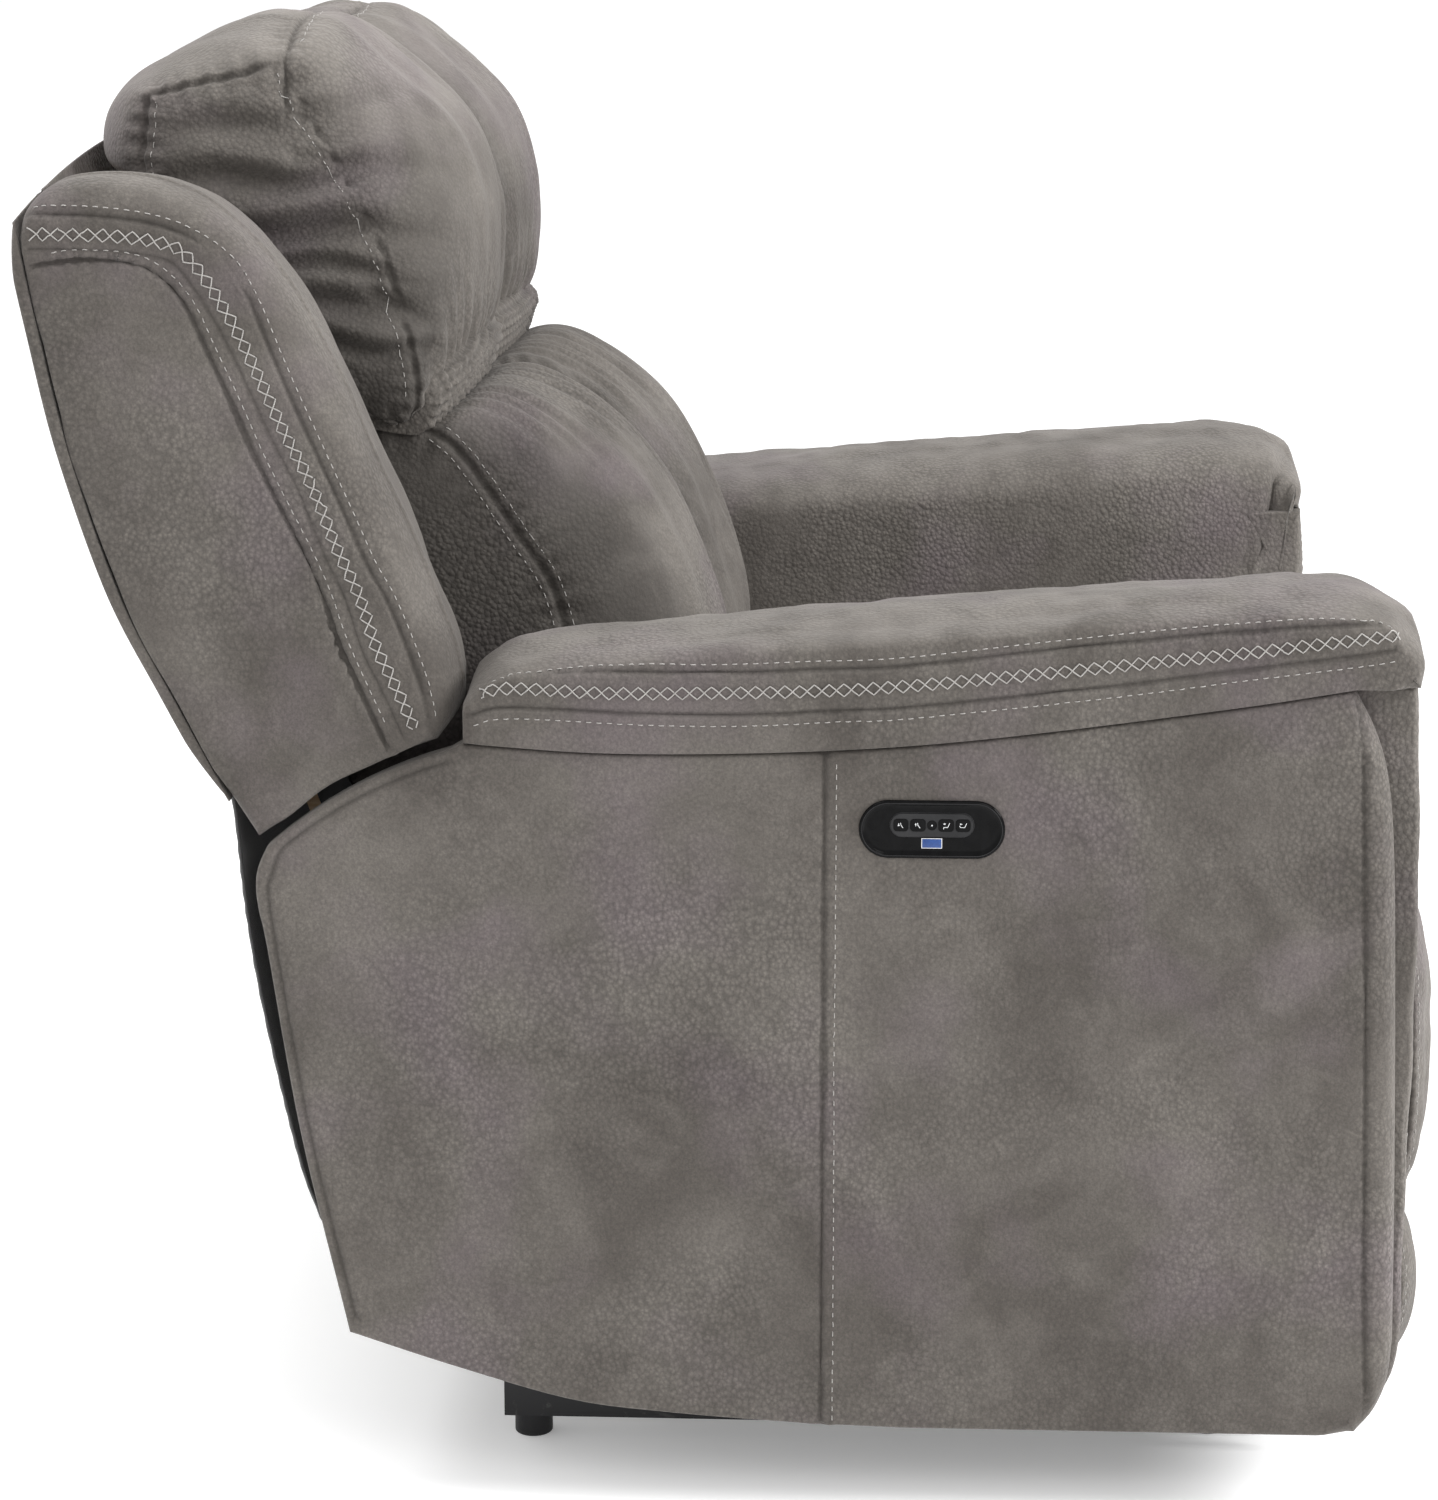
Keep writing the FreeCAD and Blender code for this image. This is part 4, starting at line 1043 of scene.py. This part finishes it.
def make_lumbar():
    obj = loft("lumbar_cover", LUMBAR_CREST, LUMBAR_SIDE, LUMBAR_CHANNEL, LUMBAR[1].x, 0.150, dome=0.004)
    co, no = shape_of(obj)
    ax = np.abs(co[:, 0])
    front = (no[:, 1] < 0.25) & (co[:, 2] > 0.52)
    held = held_edges(ax, LUMBAR[1].x, 0.012, np.where(front, 0.0, 1.0), unit((co[:, 2] - 0.775) / 0.03))
    inflate(obj, held, 9)
    refine(obj, 2)
    co, no = shape_of(obj)
    ax = np.abs(co[:, 0])
    face = unit(-no[:, 1] + 0.5 * no[:, 2]) * unit((co[:, 2] - 0.50) / 0.04)
    h = column_folds(co, 61, 0.15, 0.0013) * face
    a, dark = seam(ax, co[:, 2] - co[:, 1], 0 * ax, depth=0.007, width=0.006, fold=0.0, pucker=0.0024,
                   pitch=0.019, reach=0.030)
    h += a * face
    # gathered pleats under the band, with painted shade in their valleys
    near_band = bell(co[:, 2] - 0.812, 0.040) * face
    pleat = np.sin(TURN * co[:, 0] / 0.0205 + 2.2 * ripple(co[:, :1], 63, 0.11))
    h += near_band * 0.0020 * pleat
    dark = np.maximum(dark, 0.35 * near_band * unit(-pleat))
    h += face * 0.0014 * ripple(co, 65, 0.09)
    # painted shade along the centre channel and on the side boxing, in the recess beside the wing
    dark = np.maximum(dark, 0.85 * bell(ax, 0.048)) * face
    dark = np.maximum(dark, 0.75 * unit((np.abs(no[:, 0]) - 0.4) / 0.4))
    # painted light on the upward faces, in patches
    push(obj, h, painted_shade=dark, painted_top_light=0.3 * unit(no[:, 2]) * unit(0.5 + ripple(co, 67, 0.05)))
    side_line = section(LUMBAR_SIDE)
    ring_seam(obj, side_line, LUMBAR[1].x, depth=0.003, width=0.003, pucker=0.0012, pitch=0.02)
    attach(obj, "backrest")
    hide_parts("lumbar_cushion")
    t = Thread(obj)
    for s in (-1, 1):
        t.dashes(on_face(side_line[8:58] + (-0.006, 0.004), s * (LUMBAR[1].x - 0.004)))
        t.dashes(on_face(side_line[8:58] + (0.007, -0.003), s * (LUMBAR[1].x + 0.002)))
    t.done("lumbar_stitching", "backrest")


# ---------------------------------------------------------------- seat, footrest, band
SEAT_UNDER = [(262, 386), (0, 385), (-220, 385)]
SEAT_SEAM = -0.405  # the cross seam, in Y
SEAT_CREST = [(-440, 386), (-451, 397), (-453, 430), (-455, 448), (-474, 455), (-484, 472), (-474, 491),
              (-440, 500), (-370, 503), (-300, 504), (-210, 502), (-120, 498), (-30, 494), (58, 491),
              (125, 498), (194, 488), (255, 460), (309, 415), (289, 396)] + SEAT_UNDER
SEAT_SIDE = [(-430, 386), (-436, 397), (-438, 426), (-440, 440), (-452, 447), (-456, 458), (-450, 470),
             (-430, 478), (-370, 482), (-300, 484), (-210, 483), (-120, 481), (-30, 480), (58, 482),
             (125, 488), (194, 480), (250, 455), (305, 414), (288, 396)] + SEAT_UNDER
SEAT_CHANNEL = [(-436, 386), (-445, 397), (-446, 428), (-449, 445), (-465, 452), (-473, 470), (-464, 484),
                (-436, 491), (-370, 493), (-300, 493), (-210, 491), (-120, 488), (-30, 485), (58, 483),
                (125, 490), (194, 481), (251, 456), (306, 414), (289, 396)] + SEAT_UNDER
UPPER_CREST = [(-462, 171), (-484, 171), (-500, 172), (-524, 186), (-537, 230), (-538, 300), (-532, 370),
               (-519, 420), (-500, 434), (-478, 435), (-462, 434), (-462, 300)]
UPPER_SIDE = [(-462, 171), (-482, 173), (-494, 178), (-507, 190), (-516, 232), (-517, 300), (-512, 368),
              (-502, 412), (-490, 426), (-476, 430), (-462, 431), (-462, 300)]
LOWER_CREST = [(-462, 34), (-482, 32), (-512, 32), (-529, 58), (-535, 98), (-530, 135), (-514, 160),
               (-496, 167), (-480, 170), (-462, 170), (-462, 100)]
LOWER_SIDE = [(-462, 38), (-480, 38), (-498, 40), (-509, 62), (-514, 98), (-510, 132), (-500, 152),
              (-488, 163), (-478, 167), (-462, 170), (-462, 100)]


def centre_groove(obj, mask):
    co = points_of(obj)
    ax = np.abs(co[:, 0])
    a, dark = seam(ax, co[:, 1] + co[:, 2], 0 * ax, depth=0.003, width=0.0035, fold=0.0, pucker=0.0014,
                   pitch=0.022, reach=0.02)
    push(obj, a * mask, painted_shade=dark * mask)


def make_seat():
    obj = loft("seat_cover", SEAT_CREST, SEAT_SIDE, SEAT_CHANNEL, SEAT[1].x, 0.150, dome=0.003, grid=0.014)
    co, no = shape_of(obj)
    ax = np.abs(co[:, 0])
    free = (no[:, 2] > 0.3) & (co[:, 2] > 0.44) & (co[:, 1] < 0.02)
    inflate(obj, held_edges(ax, SEAT[1].x, 0.008, np.where(free, 0.0, 1.0)), 8)
    refine(obj)
    co, no = shape_of(obj)
    top = unit(no[:, 2]) * unit((co[:, 2] - 0.43) / 0.03)
    calm = unit((0.03 - co[:, 1]) / 0.06)
    h = top * calm * (0.0016 * ripple(co, 71, 0.10) + 0.0009 * ripple(co, 73, 0.045))
    ahead = co[:, 1] - SEAT_SEAM
    a, dark = seam(np.abs(ahead), np.abs(co[:, 0]), np.sign(ahead), depth=0.003, width=0.0035)
    push(obj, h + a * top, painted_shade=dark * top)
    centre_groove(obj, unit((co[:, 2] - 0.42) / 0.03) * calm)
    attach(obj, "base")
    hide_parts("seat_cushion")
    t = Thread(obj)
    for s in (-1, 1):
        t.dashes(np.array([(s * 0.012, -0.412, 0.50), (s * 0.15, -0.412, 0.51), (s * 0.285, -0.412, 0.49)]))
        t.dashes(np.array([(s * 0.010, y, 0.50) for y in np.linspace(-0.39, -0.01, 20)]))
    t.done("seat_stitching", "base")


def make_footrest_pad(name, crest, side, node):
    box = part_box(node)
    obj = loft(f"{name}_cover", crest, side, None, box[1].x, 0.235, per=7, around=26, dome=0.001,
               grid=0.012)
    co, no = shape_of(obj)
    ax = np.abs(co[:, 0])
    held = np.maximum(np.where(co[:, 1] > -0.484, 1.0, 0.0), bell(ax - box[1].x, 0.006))
    inflate(obj, held, 5)
    refine(obj)
    co, no = shape_of(obj)
    front = unit(-no[:, 1]) * unit((-0.482 - co[:, 1]) / 0.008)
    # painted light on the upward faces
    push(obj, front * (0.0013 * ripple(co, 81, 0.09) + 0.0008 * np.sin(TURN * co[:, 0] / 0.041
                                                                     + 2 * ripple(co, 83, 0.12))),
         painted_top_light=0.3 * unit(no[:, 2]))
    ring_seam(obj, section(side, 7), box[1].x, depth=0.002, width=0.0025, pucker=0.0006)
    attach(obj, "footrest")
    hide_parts(node)
    t = Thread(obj)
    line = section(side, 7)[10:46]
    for s in (-1, 1):
        t.dashes(on_face(line + (-0.004, 0), s * (box[1].x - 0.007)))
        t.dashes(on_face(line + (0.007, 0), s * (box[1].x + 0.001)))
    t.done(f"{name}_stitching", "footrest")


def make_band():
    """The gathered neck pinched in between the headrest and the lumbar cushion."""
    crest = [(222, 836), (219, 846), (228, 858), (262, 866), (300, 862), (326, 842), (330, 820), (305, 800),
             (262, 798), (232, 812)]
    edge = [(258, 794), (256, 806), (262, 818), (280, 826), (300, 826), (320, 818), (324, 806), (306, 794),
            (280, 788), (264, 787)]
    centre = [(243, 824), (240, 834), (247, 846), (270, 856), (300, 856), (326, 842), (330, 820),
              (305, 798), (268, 794), (250, 806)]
    obj = loft("headrest_gathered_band", crest, edge, centre, 0.303, 0.160, per=6, around=16, dome=0.002)
    refine(obj, 2)
    co, no = shape_of(obj)
    face = unit(-no[:, 1] * 1.5)
    line = np.interp(np.abs(co[:, 0]), [0, 0.16, 0.303], [0.834, 0.844, 0.803])
    rows = np.cos(TURN * (co[:, 2] - line) / 0.0085)
    pull = np.sin(TURN * co[:, 0] / 0.0105 + 2 * ripple(co[:, :1], 47, 0.08))
    h = face * (0.0011 * rows + 0.0012 * pull * (0.4 + 0.6 * unit(rows)))
    # painted shade in the valleys of the gathers
    push(obj, h, painted_shade=face * (0.35 * unit(-rows) + 0.2 * unit(-pull)))
    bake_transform(obj)


def outward_faces(obj):
    """Turn the faces of a closed mesh to look outward."""
    me = obj.data
    volume = 0.0
    for p in me.polygons:
        volume += p.center.dot(p.normal) * p.area
    if volume < 0:
        me.flip_normals()


# ---------------------------------------------------------------- rear
REAR_EDGE = smooth(mm((390, 545), (430, 622), (467, 698), (499, 798), (518, 885), (531, 955), (538, 1012)),
                   12)


def curtain(name, half, bottom, top, rear, thick, slot, swell):
    """A closed panel across the chair: rear(z) gives its rear face, and top(x) and bottom(x) its ends."""
    step, edge = 0.008, 0.006
    xs = np.linspace(-half, half, int(2 * half / step) + 1)
    xs = np.concatenate([[-half], [-half + 0.0015, -half + 0.004], xs[1:-1], [half - 0.004, half - 0.0015],
                         [half]])
    xs = np.unique(np.round(xs, 5))
    rows = int((top(0) - bottom(0)) / step)
    v = np.concatenate([[0, 0.003, 0.008], np.linspace(0.016, 0.984, rows), [0.992, 0.997, 1]])
    gx, gv = np.meshgrid(xs, v)
    z0, z1 = bottom(gx), top(gx)
    gz = z0 + (z1 - z0) * gv
    gy = rear(gz)
    d = np.minimum.reduce([half - np.abs(gx), (gz - z0), (z1 - gz)])
    drop = edge * (1 - np.sqrt(unit(1 - (1 - unit(d / edge)) ** 2)))
    out = gy - drop * 0.8 + swell(gx, gz, d)
    inn = gy - thick
    out = np.maximum(out, inn + 0.001)
    n, m = gx.shape
    verts = np.vstack([np.column_stack([gx.ravel(), out.ravel(), gz.ravel()]),
                       np.column_stack([gx.ravel(), inn.ravel(), gz.ravel()])])
    faces = []
    for r in range(n - 1):
        for c in range(m - 1):
            a, b, e, f = r * m + c, r * m + c + 1, (r + 1) * m + c + 1, (r + 1) * m + c
            faces.append((a, f, e, b))
            o = n * m
            faces.append((o + a, o + b, o + e, o + f))
    o = n * m
    border = ([c for c in range(m)] + [r * m + m - 1 for r in range(1, n)]
              + [(n - 1) * m + c for c in range(m - 2, -1, -1)] + [r * m for r in range(n - 2, 0, -1)])
    for a, b in zip(border, border[1:] + border[:1]):
        faces.append((a, b, o + b, o + a))
    obj = mesh_piece(name, verts, faces, slot=slot)
    outward_faces(obj)
    return obj


BACK_SEAM_X, BACK_SEAM_Z = 0.416, 0.905


def make_back_panel():
    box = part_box("back_panel")
    half = box[1].x

    def rear(z):
        return np.interp(z, REAR_EDGE[:, 1], REAR_EDGE[:, 0])

    def top(x):
        return 1.010 - 0.044 * (np.asarray(x) / half) ** 2

    def bottom(x):
        return 0.546 + 0 * np.asarray(x)

    def swell(x, z, d):
        ends = unit(1 - np.minimum(z - bottom(x), top(x) - z) / 0.045) ** 1.5
        return (0.0035 * unit(d / 0.12) - 0.0085 * ends
                + 0.0015 * ripple(np.column_stack([x.ravel(), z.ravel()]), 91,
                                  0.2).reshape(x.shape) * unit(d / 0.05))

    obj = curtain("back_panel_cover", half, bottom, top, rear, 0.010, "faux_suede", swell)
    co, no = shape_of(obj)
    behind = unit(no[:, 1])
    h, dark = np.zeros(len(co)), np.zeros(len(co))
    ax = np.abs(co[:, 0])
    for d, s in ((np.abs(ax - BACK_SEAM_X), co[:, 2]),
                 (np.abs(co[:, 2] - BACK_SEAM_Z) + 9 * (ax > BACK_SEAM_X), co[:, 0])):
        a, b = seam(d, s, np.sign(d), depth=0.003, width=0.0045)
        h += a
        dark = np.maximum(dark, b)
    push(obj, h * behind, painted_shade=dark * behind)
    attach(obj, "backrest")
    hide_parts("back_panel")
    t = Thread(obj)
    zs = np.linspace(0.56, 0.955, 60)
    for s in (-1, 1):
        t.dashes(np.column_stack([np.full(60, s * 0.407), rear(zs) + 0.005, zs]))
    xs = np.linspace(-0.395, 0.395, 60)
    t.dashes(np.column_stack([xs, np.full(60, rear(0.897) + 0.005), np.full(60, 0.897)]))
    t.done("back_panel_stitching", "backrest")


def make_rear_cover():
    lo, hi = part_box("rear_cover")
    edge = smooth(mm((327, 209), (344, 260), (367, 370), (379, 450), (385, 520), (388, 546)), 12)

    def rear(z):
        return np.interp(z, edge[:, 1], edge[:, 0])

    def swell(x, z, d):
        fold = 0.0016 * np.sin(TURN * x / 0.115 + 1.4 * np.sin(7 * z)) + 0.0008 * np.sin(TURN * x / 0.037)
        return -0.002 + fold * unit(d / 0.03)

    obj = curtain("rear_dust_flap", hi.x, lambda x: lo.z + 0 * np.asarray(x),
                  lambda x: 0.5455 + 0 * np.asarray(x), rear, 0.006, "black_dust_cloth", swell)
    co, no = shape_of(obj)
    behind = unit(no[:, 1])
    d = np.minimum(np.abs(co[:, 2] - lo.z - 0.018), np.abs(np.abs(co[:, 0]) - hi.x + 0.018))
    a, _ = seam(d, co[:, 0] + co[:, 2], 0 * d, depth=0.0015, width=0.004, pitch=0.02)
    push(obj, a * behind)
    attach(obj, "backrest")
    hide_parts("rear_cover")


# ---------------------------------------------------------------- control panel
def stadium_line(length, height, y, z, n):
    r, flat = height / 2, (length - height) / 2
    quarter = math.pi / 2
    return np.array([(y + s * flat + r * math.cos(a), z + r * math.sin(a))
                     for s, a0, a1 in ((1, -quarter, quarter), (-1, quarter, 3 * quarter))
                     for a in np.linspace(a0, a1, n)])


def ringed(name, loops, slot):
    """A closed skin through loops of (x, points), with a flat face at both ends."""
    m = len(loops[0][1])
    faces = skin(len(loops), m)
    faces.append(tuple((len(loops) - 1) * m + k for k in range(m)))
    faces.append(tuple(range(m))[::-1])
    obj = mesh_piece(name, np.vstack([on_face(p, x) for x, p in loops]), faces, slot=slot)
    outward_faces(obj)
    return obj


def centre_of(lo, hi):
    """The Y and Z of a box's middle."""
    return (lo.y + hi.y) / 2, (lo.z + hi.z) / 2


def make_bezel():
    lo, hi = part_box("control_bezel")
    plate_lo, plate_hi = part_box("control_plate")
    usb_lo, usb_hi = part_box("usb_shell")
    y, z = centre_of(lo, hi)
    length, height = hi.y - lo.y, hi.z - lo.z
    base, face = -PANEL[1].x + 0.001, lo.x
    rings = []
    for inset, x in ((0.0, base), (0.0, face + 0.0012), (0.0004, face + 0.0005), (0.0011, face),
                     (0.0019, face - 0.0001),
                     (0.0027, face + 0.0002), (0.0034, face + 0.0009), (0.0042, face + 0.0013),
                     (0.0062, face + 0.0013)):
        rings.append((x, stadium_line(length - 2 * inset, height - 2 * inset, y, z, 26)))
    ring = rings[-1][1]
    p_y, p_z = centre_of(plate_lo, plate_hi)
    hole = stadium_line(plate_hi.y - plate_lo.y, plate_hi.z - plate_lo.z, p_y, p_z, 20)
    c = 0.0012
    u = np.array([(usb_lo.y, usb_lo.z + c), (usb_lo.y, usb_hi.z - c), (usb_lo.y + c, usb_hi.z),
                  (usb_hi.y - c, usb_hi.z), (usb_hi.y, usb_hi.z - c), (usb_hi.y, usb_lo.z + c),
                  (usb_hi.y - c, usb_lo.z), (usb_lo.y + c, usb_lo.z)])[::-1]
    m = len(ring)
    pts = [Vector(p) for p in np.vstack([ring, hole, u])]
    spans = [list(range(m)), list(range(m, m + len(hole))), list(range(m + len(hole), len(pts)))]
    v, _, f, _, _, _ = delaunay_2d_cdt(pts, [], spans, 1, 1e-7)
    flat = np.array([tuple(q) for q in v])
    verts = [on_face(p, x) for x, p in rings]
    faces = skin(len(rings), m)
    start = len(rings) * m
    x_flat = rings[-1][0]
    verts.append(on_face(flat, x_flat))
    for t in f:
        mid = flat[list(t)].mean(0)[None]
        if inside(mid, hole)[0] or inside(mid, u)[0]:
            continue
        faces.append(tuple(start + i for i in t))
    count = start + len(flat)
    for line in (hole, u):
        k = len(line)
        verts += [on_face(line, x_flat), on_face(line, x_flat + 0.004)]
        for j in range(k):
            faces.append((count + j, count + (j + 1) % k, count + k + (j + 1) % k, count + k + j))
        count += 2 * k
    obj = mesh_piece("control_bezel_cover", np.vstack(verts), faces, slot="gloss_black_plastic")
    bm = bmesh.new()
    bm.from_mesh(obj.data)
    bmesh.ops.remove_doubles(bm, verts=bm.verts, dist=1e-6)
    bmesh.ops.recalc_face_normals(bm, faces=bm.faces)
    bm.to_mesh(obj.data)
    bm.free()
    mid = [p for p in obj.data.polygons if abs(p.center.x - x_flat) < 1e-5]
    if sum(p.normal.x * p.area for p in mid) > 0:
        obj.data.flip_normals()
    edge = obj.modifiers.new("crisp", "EDGE_SPLIT")
    edge.split_angle = math.radians(40)
    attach(obj, "base")
    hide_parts("control_bezel")

    c_y, c_z = centre_of(usb_lo, usb_hi)
    rings = [(x, np.array([(c_y - a, c_z - b), (c_y + a, c_z - b), (c_y + a, c_z + b), (c_y - a, c_z + b)]))
             for x, a, b in ((usb_lo.x + 0.0030, 0.0070, 0.0033), (usb_lo.x - 0.0001, 0.0070, 0.0033),
                             (usb_lo.x - 0.0003, 0.0067, 0.0030))]
    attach(ringed("usb_blue_insert", rings, "blue_plastic"), "base")

    # a thin lighter tube along the bezel's crest as a painted highlight, and a thin lighter rim round the key
    # plate
    crest = stadium_line(length - 0.0040, height - 0.0040, y, z, 40)
    rim = stadium_line(plate_hi.y - plate_lo.y + 0.0008, plate_hi.z - plate_lo.z + 0.0008, p_y, p_z, 20)
    for name, line, x, radius in (("bezel_painted_highlight", crest, face - 0.00005, 0.00028),
                                  ("key_plate_rim", rim, x_flat - 0.0002, 0.0004)):
        verts, faces = tube(even(on_face(closed(line), x), 0.001), radius)
        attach(mesh_piece(name, verts, faces, slot="black_plastic"), "base")


SEAT_LINE = [(-2.6, 1.9), (-1.2, -1.3), (1.6, -1.3)]
BACK_LINE = [(-1.6, -2.0), (0.0, 0.0), (0.3, 1.8)]
SHAFT, HEAD_SHAFT = [(0.6, 1.2), (2.2, 1.2)], [(1.6, -0.6), (1.6, 1.4)]
MARKS = {  # strokes in mm about the middle of each key, and their width in metres
    "recline_open": ([SEAT_LINE, [(1.6, -1.3), (2.6, -0.2)], SHAFT, [(1.6, 1.8), (2.3, 1.2), (1.6, 0.6)]],
                     0.00045),
    "recline_close": ([SEAT_LINE, [(1.6, -1.3), (1.9, -2.6)], SHAFT, [(1.2, 1.8), (0.5, 1.2), (1.2, 0.6)]],
                      0.00045),
    "home": ([[(-0.45, 0.0), (0.45, 0.0)], [(0, -0.45), (0, 0.45)]], 0.0008),
    "headrest_up": ([BACK_LINE, HEAD_SHAFT, [(1.0, 0.7), (1.6, 1.4), (2.2, 0.7)]], 0.00045),
    "headrest_down": ([BACK_LINE, HEAD_SHAFT, [(1.0, 0.1), (1.6, -0.6), (2.2, 0.1)]], 0.00045),
}


def make_marks():
    """Small generic pictograms on the keys: a seat line with an arrow, and a cross for home."""
    for key, (lines, width) in MARKS.items():
        lo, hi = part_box(f"button_{key}")
        y, z = centre_of(lo, hi)
        verts, faces = [], []
        for line in lines:
            p = np.array([(lo.x - 0.00012, y + a * MM, z + b * MM) for a, b in line])
            append_tube(verts, faces, even(p, 0.0004), width / 2, sides=6)
        obj = mesh_piece(f"mark_{key}", verts, faces, slot="gloss_black_plastic", material=INK)
        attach(obj, f"{key}_key")


make_side_panel("left")
make_side_panel("right")
for which in ("left", "right"):
    make_inner_and_front(which)
    make_arm_pad(which)
    make_wing(which)
make_headrest()
make_lumbar()
make_seat()
make_footrest_pad("upper_footrest", UPPER_CREST, UPPER_SIDE, "upper_footrest_pad")
make_footrest_pad("lower_footrest", LOWER_CREST, LOWER_SIDE, "lower_footrest_pad")
make_band()
make_back_panel()
make_rear_cover()
make_bezel()
make_marks()


# ---------------------------------------------------------------- stage
def make_stage():
    me = bpy.data.meshes.new("studio_floor")
    me.from_pydata([(-30, -30, 0), (30, -30, 0), (30, 30, 0), (-30, 30, 0)], [], [(0, 1, 2, 3)])
    floor = bpy.data.objects.new("studio_floor", me)
    bpy.context.scene.collection.objects.link(floor)
    m = Mat("pale_studio_floor")
    grain = m.noise(3.0, 3.0)
    colour = m.tone(grain, 0.3, 0.7, (0.955, 0.955, 0.955), (0.975, 0.975, 0.975))
    m.bump(m.noise(60.0), 0.0002, 0.2)
    me.materials.append(m.finish(colour, 0.75, emission_color=(1.0, 1.0, 1.0), emission_strength=0.22))

    world = bpy.data.worlds.new("studio")
    bpy.context.scene.world = world
    world.use_nodes = True
    sky = world.node_tree.nodes["Background"].inputs
    sky["Color"].default_value = (1.0, 1.0, 1.0, 1)
    sky["Strength"].default_value = 1.03

    def aimed(name, data, at, look):
        obj = bpy.data.objects.new(name, data)
        bpy.context.scene.collection.objects.link(obj)
        obj.location = at
        obj.rotation_euler = look.to_track_quat("-Z", "Y").to_euler()
        return obj

    def light(name, at, aim, power, size):
        data = bpy.data.lights.new(name, "AREA")
        data.energy, data.shape, data.size = power, "DISK", size
        aimed(name, data, at, Vector(aim) - Vector(at))

    light("overhead_softbox", (-0.4, 0.9, 2.6), (0, 0.3, 0.9), 30, 1.3)
    light("side_softbox", (-2.9, -1.2, 2.4), (0, 0, 0.6), 20, 1.4)
    light("front_softbox", (-0.9, -3.1, 2.1), (0, 0.2, 0.8), 135, 1.5)

    cam = bpy.data.cameras.new("photo_camera")
    cam.lens, cam.sensor_width = 88.56, 36.0
    cam.clip_end = 100
    pitch, yaw = math.radians(12.647), math.radians(2.740)  # down, and round from +X
    look = Vector((math.cos(pitch) * math.cos(yaw), math.cos(pitch) * math.sin(yaw), -math.sin(pitch)))
    bpy.context.scene.camera = aimed("photo_camera", cam, (-3.12, -0.103, 1.174), look)
    bpy.context.scene.view_settings.view_transform = "Standard"


make_stage()
